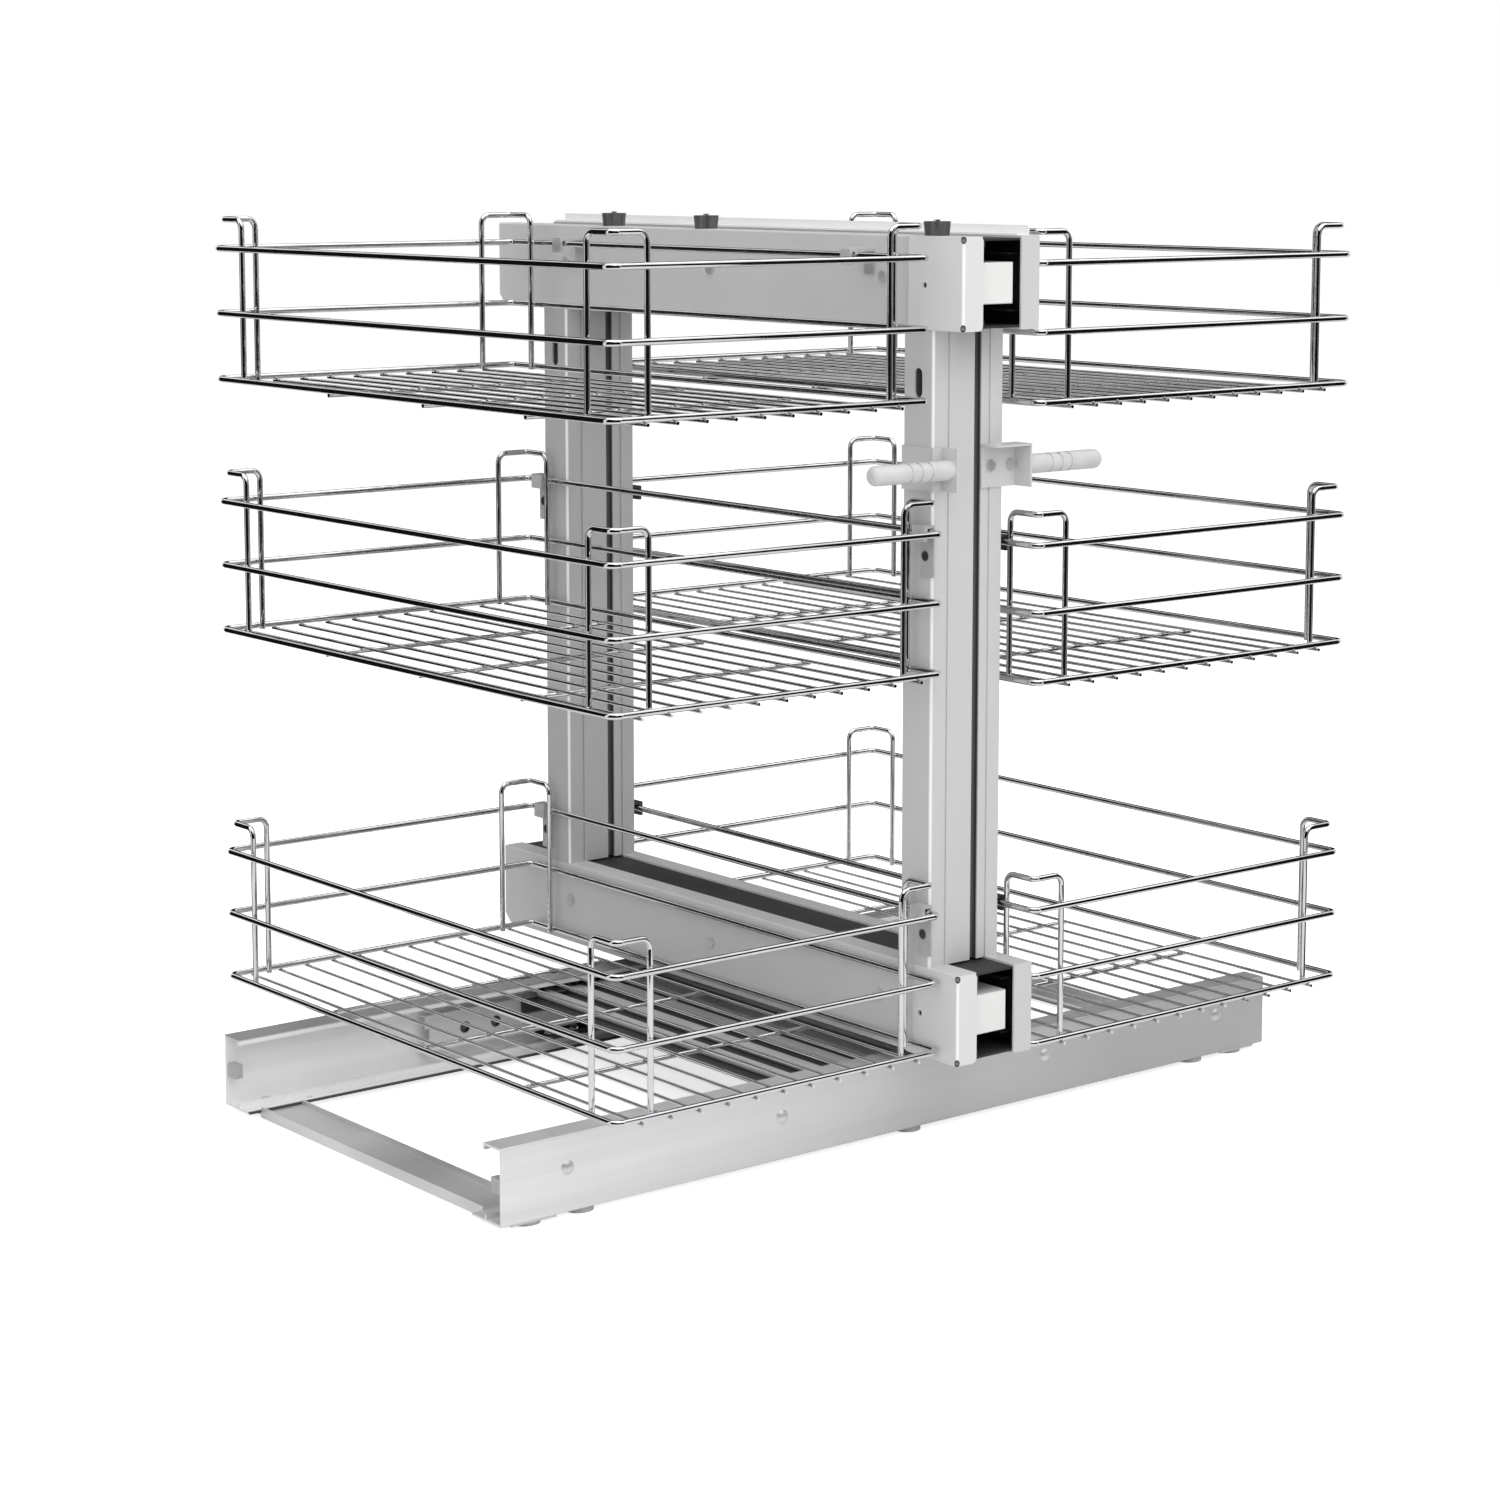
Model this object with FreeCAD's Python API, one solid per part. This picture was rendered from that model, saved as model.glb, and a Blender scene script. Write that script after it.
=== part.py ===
"""Pull-out larder unit for a blind corner: a low base, a sliding tower and six wire baskets.

Frame: X runs along the base rails, Y runs front to back, Z is up. The origin is the centre of the
four floor screws, on the underside of the base rails. All sizes are millimetres.
"""
import FreeCAD, Part
import math
import os

V = FreeCAD.Vector
os.makedirs("parts", exist_ok=True)

# ---------------------------------------------------------------- driving dimensions
# clearances
RUN = 0.15            # a ball or glide in its track, each side
TOUCH = 0.02          # welded wires that just meet
APART = 0.4           # neighbours that must not rub
PAST = 1.0            # a cutter runs this far past a face
SAME = 0.01           # lengths this close count as equal
BEND_SHARE = 0.8      # outer radius of a fold, as a share of its sheet

# base rails
RAIL_LENGTH = 708.0
RAIL_SPAN = 352.0     # outer face to outer face
RAIL_HEIGHT = 52.0
RAIL_WALL = 1.5
RAIL_TOP_FLANGE = 20.0
RAIL_FOOT_FLANGE = 34.0
RAIL_LIP = 4.5
RAIL_TRACK_DEPTH = 19.0   # outer face to the inner side of the lips
RIVET_SPACING = 179.0     # from the outer rail rivets to the inner ones
RIVET_END = 52.0          # from a rail's end to its first rivet
RIVET_Z = 30.0
RIVET_R = 5.0
RIVET_PROUD = 2.6

# floor screws and feet
SCREW_FROM_END = 54.0     # hole centre in from the rail's end
SCREW_FROM_FACE = 26.0    # hole centre in from the rail's outer face
SCREW_HOLE_R = 2.5
FOOT_HEIGHT = 4.0
FOOT_R = 10.0
FOOT_FROM_BAR = 25.0      # end foot's centre in from the cross-bar
FOOT_IN = 12.0            # foot centre in from the rail's outer face

# cross-bars that tie the base rails
BAR_WIDTH = 35.0
BAR_OUTER_TOP = 4.0       # top edge of the outer flange
BAR_INNER_TOP = 3.0       # top edge of the inner flange
BAR_WALL = 1.5
BAR_END_GAP = 9.0         # rail end to cross-bar
BAR_RIVET_R = 3.5
BAR_RIVET_PROUD = 1.5

# ball runners of the carriage
BALL_D = 10.0
BALL_PITCH = 22.0
BALL_COUNT = 9
CAGE_WALL = 1.2
CAGE_END = 9.0
CAGE_RIM = 1.0            # cage beyond the balls
RUNNER_LENGTH = 407.0
RUNNER_WALL = 1.6
RUNNER_BEHIND_LIP = 5.0   # runner's face behind the inner side of the rail's lips
RUNNER_FLANGE = 8.5
RUNNER_HOLE_R = 3.0
RUNNER_HOLE_PITCH = 28.0
RUNNER_NOTCH = 8.0
STOP_LENGTH = 6.0
STOP_HEIGHT = 10.0
STOP_INSET = 1.0

# deck that carries the tower between the runners
DECK_WIDTH = 234.0
DECK_WALL = 1.6
DECK_DROP = 13.0          # below the rails' top edge
DECK_SKIRT = 18.0
DECK_RIB_WIDTH = 12.0
DECK_RIB_PITCH = 28.0
DECK_RIB_COUNT = 8
DECK_RIB_HEIGHT = 4.0
RISER_LENGTH = 60.0
RISER_INSET = 24.0        # riser end in from the deck's edge

# tower: two frames side by side
TOWER_LEFT = -22.0        # outer face of the left frame
TOWER_WIDTH = 69.0
TOWER_NEAR = -241.0
TOWER_LENGTH = 545.0
BEAM_HEIGHT = 63.0
BEAM_WALL = 1.5
LEFT_BEAM_DEPTH = 17.0
RIGHT_BEAM_DEPTH = 16.5
LOW_BEAM_Z = 62.0
HIGH_BEAM_Z = 563.0
LEFT_POST_WIDTH = 38.5
RIGHT_POST_WIDTH = 21.0
POST_GAP = 4.7
POST_DEPTH = 30.0
POST_WALL = 1.5
NEAR_POST_INSET = 29.4    # tower's near end to the near posts
FAR_POST_INSET = 90.0     # tower's far end to the far posts' near face
BEAM_CHAMFER = 7.0        # lower far corner of the left beams
POST_GROOVE = 2.0
POST_GROOVE_DEPTH = 1.0
SLOT_WIDTH = 8.0
SLOT_LENGTH = 20.0
SLOT_BELOW_BEAM = 36.0

# telescopic slides inside the beams
TRACK_HEIGHT = 40.0
TRACK_DEPTH = 14.0
TRACK_WALL = 1.5
GLIDE_HEIGHT = 5.0
SLIDER_WALL = 2.0
SLIDER_SIDE_GAP = 4.0     # slider to the web of each track
CHANNEL_WALL = 1.5
CHANNEL_LIP = 6.0
BLOCK_HEIGHT = 28.0
BLOCK_LENGTH = 34.0
BLOCK_SETBACK = 3.0
BLOCK_LEFT_GAP = 2.0      # block to the left beam's flange edge
BLOCK_RIGHT_GAP = 4.6     # block to the right beam's flange edge
BLOCK_ROUND = 1.2
GLIDE_LENGTH = 40.0
GLIDE_STEP = 190.0        # between the two left glides
SLIDE_END_GAP = 12.0
PULL = 430.0              # travel of the left frame; the sliders go half as far

# sheet covers on the near ends of the left beams
COVER_WALL = 1.5
COVER_LENGTH = 55.0
COVER_FACE = 18.0
COVER_CORNER = 4.0
COVER_HOLE_R = 2.0
COVER_HOLE_IN = 38.5      # hole centre from the fold
COVER_HOLE_RISE = 30.0
RELIEF_R = 1.4
RELIEF_IN = 2.2           # relief holes in from the fold's ends

# guide strip on top of the tower, and buffers
STRIP_WALL = 1.2
STRIP_HEIGHT = 6.5
STRIP_FLANGE = 11.0
STRIP_INSET = 4.0         # in from the tower's right face
STRIP_SETBACK = 6.0
BUFFER_FOOT_R = 8.3
BUFFER_R = 9.2
BUFFER_HEIGHT = 9.5
BUFFER_STUD_R = 2.2
BUFFER_STUD_PROUD = 1.2
BUFFER_FROM_NEAR = (36.0, 289.0, 403.0)

# finger pegs
PEG_R = 6.8
PEG_LENGTH = 70.0
PEG_ROUND = 4.5
PEG_ROUND_STEPS = 6
PEG_FIRST_RING = 19.6
PEG_Z = 469.0
PEG_RING_WIDTH = 2.2
PEG_RING_DEPTH = 0.8
PEG_RING_PITCH = 9.0
PEG_RING_COUNT = 3
PEG_OUT = 9.0             # peg centre line out from the posts' near face
PLATE_WALL = 1.5
PLATE_HEIGHT = 30.0
PLATE_BEYOND_PEG = 1.0
LEFT_PLATE_REACH = 8.5    # from the tower's left face
RIGHT_BRACKET_REACH = 12.0    # from the right post

# baskets: wire centre lines
WIRE_R = 2.25
UPRIGHT_R = 2.1
THIN_R = 1.2
CROSS_R = 1.7
BASKET_CORNER = 6.0
RIM_MID = 48.0
RIM_TOP = 95.0
UPRIGHT_TOP = 116.0
UPRIGHT_BEND = 7.0
UPRIGHT_CORNER = 4.0
UPRIGHT_REACH = 31.0      # leg away from the corner, along each side
WELD = 0.35               # how far welded wires sink into each other
THIN_PITCH = 23.3
THIN_MARGIN = 18.0        # outermost thin wire, at least this far from the basket's sides
THIN_OVERHANG = 1.2
CROSS_OVERHANG = 6.0
CROSS_COUNT = 3
LEFT_BASKET_WIDTH = 274.5
LEFT_TOP_NARROWER = 13.5  # the top left basket stands clear of the cover beside it
LEFT_BASKET_GAP = 4.0     # wire centre to the tower's left face
LEFT_BASKET_SETBACK = 14.5    # near rims behind the tower's near end
LEFT_BASKET_SHORT = 43.0      # far rims before the tower's far end
LEFT_LEVELS = (70.0, 332.0, 517.0)
RIGHT_BASKET_WIDTH = 314.0
RIGHT_BASKET_GAP = 4.0    # wire centre to the tower's right face
RIGHT_BASKET_SETBACK = 3.5    # near rims behind the tower's near end
RIGHT_BASKET_SHORT = 6.0      # far rims before the tower's far end
RIGHT_LEVELS = (64.0, 319.0, 512.0)
LEVEL_NAMES = ("bottom", "middle", "top")

# clips that hold the baskets
CLIP_WIDTH = 13.0
CLIP_HEIGHT = 36.0
CLIP_WALL = 1.3
CLIP_LIP = 9.0
CLIP_TOP = 2.0
HANGER_WIDTH = 10.0
HANGER_HEIGHT = 18.0
HANGER_FROM_NEAR = 95.0   # from the tower's near end
HANGER_FROM_FAR = 110.0   # from the tower's far end

# small screws
HEAD_R = 4.0
HEAD_PROUD = 1.8
ROW_FROM_NEAR = (81.0, 273.0)     # first two rows of heads on the beams
ROW_FROM_FAR = 92.0               # last row
LEFT_ROW_RISE = 34.5
RIGHT_ROW_RISE = 31.5
BRACKET_HEAD_R = 3.6
BRACKET_SCREW_IN = 8.0    # from the right post's left face
BRACKET_RIVET_OUT = 5.5   # beyond the right post

# ---------------------------------------------------------------- derived places
RAIL_HALF = RAIL_SPAN / 2
RAIL_END = RAIL_LENGTH / 2
TOWER_RIGHT = TOWER_LEFT + TOWER_WIDTH
TOWER_MID = (TOWER_LEFT + TOWER_RIGHT) / 2
TOWER_FAR = TOWER_NEAR + TOWER_LENGTH
NEAR_POST_Y = TOWER_NEAR + NEAR_POST_INSET
FAR_POST_Y = TOWER_FAR - FAR_POST_INSET
POSTS_Y = (NEAR_POST_Y, FAR_POST_Y)
BEAMS_Z = (LOW_BEAM_Z, HIGH_BEAM_Z)
RIGHT_POST_LEFT = TOWER_LEFT + LEFT_POST_WIDTH + POST_GAP
RIGHT_POST_RIGHT = RIGHT_POST_LEFT + RIGHT_POST_WIDTH
POST_BOTTOM = LOW_BEAM_Z + BEAM_HEIGHT
POST_LENGTH = HIGH_BEAM_Z - POST_BOTTOM
RUNNER_TOP = RAIL_HEIGHT - RAIL_WALL - BALL_D - 2 * RUN
RUNNER_BOTTOM = RAIL_WALL + BALL_D + 2 * RUN
RUNNER_FACE = RAIL_HALF - RAIL_TRACK_DEPTH + RAIL_WALL + RUNNER_BEHIND_LIP
BALL_Y = RUNNER_FACE + RUNNER_FLANGE / 2
DECK_TOP = RAIL_HEIGHT - DECK_DROP
RIGHT_WEB = TOWER_RIGHT - BEAM_WALL
SCREW_X = RAIL_END - SCREW_FROM_END
SCREW_Y = RAIL_HALF - SCREW_FROM_FACE
BAR_CENTRE_X = RAIL_END - BAR_END_GAP - BAR_WIDTH / 2
FOOT_Y = RAIL_HALF - FOOT_IN
LEFT_PLATE_EDGE = TOWER_LEFT + LEFT_PLATE_REACH
RIGHT_BRACKET_EDGE = RIGHT_POST_RIGHT + RIGHT_BRACKET_REACH
PLATE_OUT_Y = NEAR_POST_Y - PEG_OUT - PEG_R - PLATE_BEYOND_PEG
LEFT_X1 = TOWER_LEFT - LEFT_BASKET_GAP
LEFT_X0 = LEFT_X1 - LEFT_BASKET_WIDTH
LEFT_TOP_X1 = LEFT_X1 - LEFT_TOP_NARROWER
LEFT_RIGHT_SIDES = (LEFT_X1, LEFT_X1, LEFT_TOP_X1)
LEFT_Y0 = TOWER_NEAR + LEFT_BASKET_SETBACK
LEFT_Y1 = TOWER_FAR - LEFT_BASKET_SHORT
RIGHT_X0 = TOWER_RIGHT + RIGHT_BASKET_GAP
RIGHT_X1 = RIGHT_X0 + RIGHT_BASKET_WIDTH
RIGHT_Y0 = TOWER_NEAR + RIGHT_BASKET_SETBACK
RIGHT_Y1 = TOWER_FAR - RIGHT_BASKET_SHORT


def box(x0, x1, y0, y1, z0, z1):
    """A block between two corners given as ranges."""
    return Part.makeBox(x1 - x0, y1 - y0, z1 - z0, V(x0, y0, z0))


def rod(radius, start, end):
    """A round bar from start to end."""
    return Part.makeCylinder(radius, (end - start).Length, start, end - start)


def join(shapes):
    """One solid from shapes that overlap or share faces."""
    solid = shapes[0].fuse(shapes[1:]) if len(shapes) > 1 else shapes[0]
    return solid.removeSplitter()


def across(shape):
    """The same piece on the other side of the XZ plane."""
    return shape.mirror(V(0, 0, 0), V(0, 1, 0))


def write(node, *shapes):
    """Write one named piece, or a group of like pieces."""
    shape = shapes[0] if len(shapes) == 1 else Part.makeCompound(list(shapes))
    count = len(shape.Solids)
    print(f"{node:28s} {count:3d} solids  {shape.Volume / 1000:9.2f} cm3  valid {shape.isValid()}")
    shape.exportStep(f"parts/{node}.step")


# ---------------------------------------------------------------- base
def base_rail():
    """Front rail: a C channel, its web outwards, with ball tracks and a flange for the screws."""
    y0 = -RAIL_HALF
    lip = y0 + RAIL_TRACK_DEPTH
    pieces = [
        box(-RAIL_END, RAIL_END, y0, y0 + RAIL_WALL, 0, RAIL_HEIGHT),
        box(-RAIL_END, RAIL_END, y0, y0 + RAIL_TOP_FLANGE, RAIL_HEIGHT - RAIL_WALL, RAIL_HEIGHT),
        box(-RAIL_END, RAIL_END, y0 + RAIL_TOP_FLANGE - RAIL_WALL, y0 + RAIL_TOP_FLANGE,
            RAIL_HEIGHT - RAIL_LIP, RAIL_HEIGHT),
        box(-RAIL_END, RAIL_END, y0, y0 + RAIL_FOOT_FLANGE, 0, RAIL_WALL),
        box(-RAIL_END, RAIL_END, lip - RAIL_WALL, lip, 0, RAIL_LIP),
    ]
    rail = join(pieces)
    outer_edges = [edge for edge in rail.Edges
                   if edge.Length > RAIL_LENGTH - PAST and abs(edge.CenterOfMass.y - y0) < SAME]
    rail = rail.makeFillet(RAIL_WALL * BEND_SHARE, outer_edges)
    for side in (-1, 1):
        centre = V(side * SCREW_X, -SCREW_Y, -PAST)
        rail = rail.cut(rod(SCREW_HOLE_R, centre, centre + V(0, 0, RAIL_WALL + 2 * PAST)))
    return rail


def rail_rivets():
    """Domed rivet heads on the front rail's outer face."""
    first = RAIL_END - RIVET_END
    places = (-first, -first + RIVET_SPACING, first - RIVET_SPACING, first)
    heads = []
    for x in places:
        dome_r = (RIVET_R ** 2 + RIVET_PROUD ** 2) / (2 * RIVET_PROUD)
        centre = V(x, -RAIL_HALF - RIVET_PROUD + dome_r, RIVET_Z)
        dome = Part.makeSphere(dome_r, centre)
        keep = box(x - RIVET_R, x + RIVET_R, -RAIL_HALF - RIVET_PROUD - PAST, -RAIL_HALF,
                   RIVET_Z - RIVET_R, RIVET_Z + RIVET_R)
        heads.append(dome.common(keep))
    return heads


def bar_rivets():
    """Flat rivet heads on the front rail's foot flange, over the cross-bars' ends."""
    return [rod(BAR_RIVET_R, V(x, -FOOT_Y, RAIL_WALL), V(x, -FOOT_Y, RAIL_WALL + BAR_RIVET_PROUD))
            for x in (-BAR_CENTRE_X, BAR_CENTRE_X)]


def cross_bar():
    """Left tie bar: an open channel whose ends pass under the rails."""
    x0 = -RAIL_END + BAR_END_GAP
    x1 = x0 + BAR_WIDTH
    inner = RAIL_HALF - RAIL_FOOT_FLANGE - APART
    outer = RAIL_HALF - BAR_WALL
    pieces = [
        box(x0, x1, -outer, outer, -BAR_WALL - TOUCH, -TOUCH),
        box(x0, x0 + BAR_WALL, -inner, inner, -FOOT_HEIGHT + APART, BAR_OUTER_TOP),
        box(x1 - BAR_WALL, x1, -inner, inner, -BAR_WALL - TOUCH, BAR_INNER_TOP),
    ]
    return join(pieces)


def feet():
    """Round pads under the rails, between the cross-bars."""
    end = RAIL_END - BAR_END_GAP - BAR_WIDTH - FOOT_FROM_BAR
    return [rod(FOOT_R, V(x, y, -FOOT_HEIGHT), V(x, y, -TOUCH))
            for y in (-FOOT_Y, FOOT_Y) for x in (-end, 0, end)]


def bar_feet():
    """Thin pads under the cross-bars' ends."""
    top = -BAR_WALL - 2 * TOUCH
    return [rod(FOOT_R, V(x, y, -FOOT_HEIGHT), V(x, y, top))
            for x in (-BAR_CENTRE_X, BAR_CENTRE_X) for y in (-FOOT_Y, FOOT_Y)]


def end_stops():
    """Rubber stops at the rail ends, where the runners come to rest."""
    y0, y1 = RUNNER_FACE - APART, RAIL_HALF - RAIL_WALL - TOUCH
    z = (RUNNER_TOP + RUNNER_BOTTOM) / 2
    x1 = RAIL_END - STOP_INSET
    stop = box(x1 - STOP_LENGTH, x1, y0, y1, z - STOP_HEIGHT / 2, z + STOP_HEIGHT / 2)
    pair = [stop, across(stop)]
    return pair + [piece.mirror(V(0, 0, 0), V(1, 0, 0)) for piece in pair]


# ---------------------------------------------------------------- carriage runners
def ball_places():
    """X of each ball, about the tower's middle."""
    first = TOWER_MID - BALL_PITCH * (BALL_COUNT - 1) / 2
    return [first + BALL_PITCH * i for i in range(BALL_COUNT)]


def balls(side):
    """Upper and lower balls of one rail."""
    group = []
    for x in ball_places():
        for z in (RUNNER_BOTTOM - RUN - BALL_D / 2, RUNNER_TOP + RUN + BALL_D / 2):
            group.append(Part.makeSphere(BALL_D / 2, V(x, side * BALL_Y, z)))
    return group


def ball_cage():
    """Rear retainer strip: a C of thin plate whose two arms hold the balls."""
    half = BALL_PITCH * (BALL_COUNT - 1) / 2 + CAGE_END
    x0, x1 = TOWER_MID - half, TOWER_MID + half
    web = RAIL_HALF - RAIL_WALL - APART
    low = RUNNER_BOTTOM - RUN - BALL_D / 2
    high = RUNNER_TOP + RUN + BALL_D / 2
    arm = CAGE_WALL / 2
    tip = BALL_Y - BALL_D / 2 - CAGE_RIM
    cage = join([
        box(x0, x1, web - CAGE_WALL, web, low - arm, high + arm),
        box(x0, x1, tip, web, low - arm, low + arm),
        box(x0, x1, tip, web, high - arm, high + arm),
    ])
    for x in ball_places():
        hole = BALL_D / 2 + RUN
        cage = cage.cut(rod(hole, V(x, BALL_Y, low - PAST), V(x, BALL_Y, low + PAST)))
        cage = cage.cut(rod(hole, V(x, BALL_Y, high - PAST), V(x, BALL_Y, high + PAST)))
    return cage


def runner():
    """Rear runner: a perforated channel between the upper and lower balls."""
    x0 = TOWER_MID - RUNNER_LENGTH / 2
    x1 = x0 + RUNNER_LENGTH
    y0 = RUNNER_FACE
    body = join([
        box(x0, x1, y0, y0 + RUNNER_WALL, RUNNER_BOTTOM, RUNNER_TOP),
        box(x0, x1, y0, y0 + RUNNER_FLANGE, RUNNER_BOTTOM, RUNNER_BOTTOM + RUNNER_WALL),
        box(x0, x1, y0, y0 + RUNNER_FLANGE, RUNNER_TOP - RUNNER_WALL, RUNNER_TOP),
    ])
    count = int((RUNNER_LENGTH - 2 * RUNNER_NOTCH) / RUNNER_HOLE_PITCH)
    first = TOWER_MID - RUNNER_HOLE_PITCH * (count - 1) / 2
    middle = (RUNNER_TOP + RUNNER_BOTTOM) / 2
    cutters = []
    for i in range(count):
        start = V(first + i * RUNNER_HOLE_PITCH, y0 - PAST, middle)
        cutters.append(rod(RUNNER_HOLE_R, start, start + V(0, RUNNER_WALL + 2 * PAST, 0)))
    for x in (x0, x1):
        cutters.append(box(x - RUNNER_NOTCH / 2, x + RUNNER_NOTCH / 2,
                           y0 - PAST, y0 + RUNNER_WALL + PAST,
                           middle - RUNNER_NOTCH / 2, middle + RUNNER_NOTCH / 2))
    return body.cut(cutters)


def deck():
    """Pressed deck between the runners, ribbed front to back, with a skirt down each long side."""
    x0, x1 = TOWER_MID - DECK_WIDTH / 2, TOWER_MID + DECK_WIDTH / 2
    edge = RUNNER_FACE - TOUCH
    under = DECK_TOP - DECK_WALL
    pieces = [box(x0, x1, -edge, edge, under, DECK_TOP)]
    for side in (-1, 1):
        y = side * (edge - DECK_WALL)
        pieces.append(box(x0, x1, min(y, side * edge), max(y, side * edge),
                          under - DECK_SKIRT, DECK_TOP))
    rib_edge = edge - 2 * DECK_WALL
    first = TOWER_MID - DECK_RIB_PITCH * (DECK_RIB_COUNT - 1) / 2
    for i in range(DECK_RIB_COUNT):
        x = first + i * DECK_RIB_PITCH
        pieces.append(box(x - DECK_RIB_WIDTH / 2, x + DECK_RIB_WIDTH / 2, -rib_edge, rib_edge,
                          DECK_TOP - DECK_WALL, DECK_TOP + DECK_RIB_HEIGHT))
    return join(pieces)


def risers():
    """Angle blocks from the deck's ribs up to the right frame's lower beam."""
    group = []
    x0, x1 = TOWER_RIGHT - RIGHT_BEAM_DEPTH, TOWER_RIGHT
    bottom = DECK_TOP + DECK_RIB_HEIGHT + TOUCH
    top = LOW_BEAM_Z - TOUCH
    for side in (-1, 1):
        far = side * (RUNNER_FACE - RISER_INSET)
        near = far - side * RISER_LENGTH
        y0, y1 = min(near, far), max(near, far)
        group.append(join([
            box(x0, x1, y0, y1, bottom, bottom + DECK_WALL),
            box(x1 - DECK_WALL, x1, y0, y1, bottom, top),
            box(x0, x1, y0, y1, top - DECK_WALL, top),
        ]))
    return group


# ---------------------------------------------------------------- tower frames
def left_beam(z0):
    """Left beam: a C channel whose web is the tower's left face, its lower far corner cut off."""
    x0, x1 = TOWER_LEFT, TOWER_LEFT + LEFT_BEAM_DEPTH
    z1 = z0 + BEAM_HEIGHT
    beam = join([
        box(x0, x0 + BEAM_WALL, TOWER_NEAR, TOWER_FAR, z0, z1),
        box(x0, x1, TOWER_NEAR, TOWER_FAR, z0, z0 + BEAM_WALL),
        box(x0, x1, TOWER_NEAR, TOWER_FAR, z1 - BEAM_WALL, z1),
    ])
    long_edges = [edge for edge in beam.Edges
                  if edge.Length > TOWER_LENGTH - PAST and abs(edge.CenterOfMass.x - x0) < SAME]
    beam = beam.makeFillet(BEAM_WALL * BEND_SHARE, long_edges)
    reach = BEAM_CHAMFER + 2 * PAST
    far, low = TOWER_FAR + PAST, z0 - PAST
    outline = [V(x0 - PAST, far, low), V(x0 - PAST, far - reach, low), V(x0 - PAST, far, low + reach)]
    wedge = Part.Face(Part.makePolygon(outline + outline[:1]))
    return beam.cut(wedge.extrude(V(LEFT_BEAM_DEPTH + 2 * PAST, 0, 0)))


def right_beam(z0):
    """Right beam: a C channel whose web is the tower's right face, closed by a near lip."""
    x0, x1 = TOWER_RIGHT - RIGHT_BEAM_DEPTH, TOWER_RIGHT
    z1 = z0 + BEAM_HEIGHT
    beam = join([
        box(RIGHT_WEB, x1, TOWER_NEAR, TOWER_FAR, z0, z1),
        box(x0, x1, TOWER_NEAR, TOWER_FAR, z0, z0 + BEAM_WALL),
        box(x0, x1, TOWER_NEAR, TOWER_FAR, z1 - BEAM_WALL, z1),
        box(x0, x1, TOWER_NEAR, TOWER_NEAR + BEAM_WALL, z0, z1),
    ])
    long_edges = [edge for edge in beam.Edges
                  if edge.Length > TOWER_LENGTH - PAST and abs(edge.CenterOfMass.x - x1) < SAME]
    return beam.makeFillet(BEAM_WALL * BEND_SHARE, long_edges)


def post(x0, width, y0, slotted):
    """An upright tube with a shallow groove down its near face."""
    z0 = POST_BOTTOM + TOUCH
    z1 = POST_BOTTOM + POST_LENGTH - TOUCH
    x1, y1 = x0 + width, y0 + POST_DEPTH
    tube = box(x0, x1, y0, y1, z0, z1)
    upright = [edge for edge in tube.Edges if abs(edge.Length - (z1 - z0)) < SAME]
    tube = tube.makeFillet(POST_WALL, upright)
    tube = tube.cut(box(x0 + POST_WALL, x1 - POST_WALL, y0 + POST_WALL, y1 - POST_WALL,
                        z0 - PAST, z1 + PAST))
    groove_x = x0 + width / 3
    tube = tube.cut(box(groove_x, groove_x + POST_GROOVE, y0 - PAST, y0 + POST_GROOVE_DEPTH,
                        z0 - PAST, z1 + PAST))
    if slotted:
        reach = (SLOT_LENGTH - SLOT_WIDTH) / 2
        z = HIGH_BEAM_Z - SLOT_BELOW_BEAM
        y = (y0 + y1) / 2
        outside, inside = x0 - PAST, x0 + POST_WALL + PAST
        slot = [rod(SLOT_WIDTH / 2, V(outside, y, end), V(inside, y, end))
                for end in (z - reach, z + reach)]
        slot.append(box(outside, inside, y - SLOT_WIDTH / 2, y + SLOT_WIDTH / 2, z - reach, z + reach))
        tube = tube.cut(join(slot))
    return tube


def end_cover(z0):
    """Folded sheet over the near end of a left beam: a side, a face, and corner reliefs."""
    x0 = TOWER_LEFT - COVER_WALL - TOUCH
    y0 = TOWER_NEAR - COVER_WALL - TOUCH
    z1 = z0 + BEAM_HEIGHT
    side = box(x0, x0 + COVER_WALL, y0, y0 + COVER_LENGTH, z0, z1)
    corners = [edge for edge in side.Edges
               if abs(edge.Length - COVER_WALL) < SAME and edge.CenterOfMass.y > y0 + PAST]
    side = side.makeFillet(COVER_CORNER, corners)
    face = box(x0, x0 + COVER_FACE, y0, y0 + COVER_WALL, z0, z1)
    corners = [edge for edge in face.Edges
               if abs(edge.Length - COVER_WALL) < SAME and edge.CenterOfMass.x > x0 + PAST]
    face = face.makeFillet(COVER_CORNER, corners)
    cover = join([side, face])
    bend = [edge for edge in cover.Edges
            if edge.Length > BEAM_HEIGHT - PAST and abs(edge.CenterOfMass.x - x0) < SAME
            and abs(edge.CenterOfMass.y - y0) < SAME]
    cover = cover.makeFillet(COVER_WALL * BEND_SHARE, bend)
    hole = V(x0 - PAST, y0 + COVER_HOLE_IN, z0 + COVER_HOLE_RISE)
    cutters = [rod(COVER_HOLE_R, hole, hole + V(COVER_WALL + 2 * PAST, 0, 0))]
    through = COVER_WALL + 2 * PAST
    for z in (z0 + RELIEF_IN, z1 - RELIEF_IN):
        cutters.append(rod(RELIEF_R, V(x0 - PAST, y0 - PAST, z), V(x0 + through, y0 + through, z)))
    return cover.cut(cutters)


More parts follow.
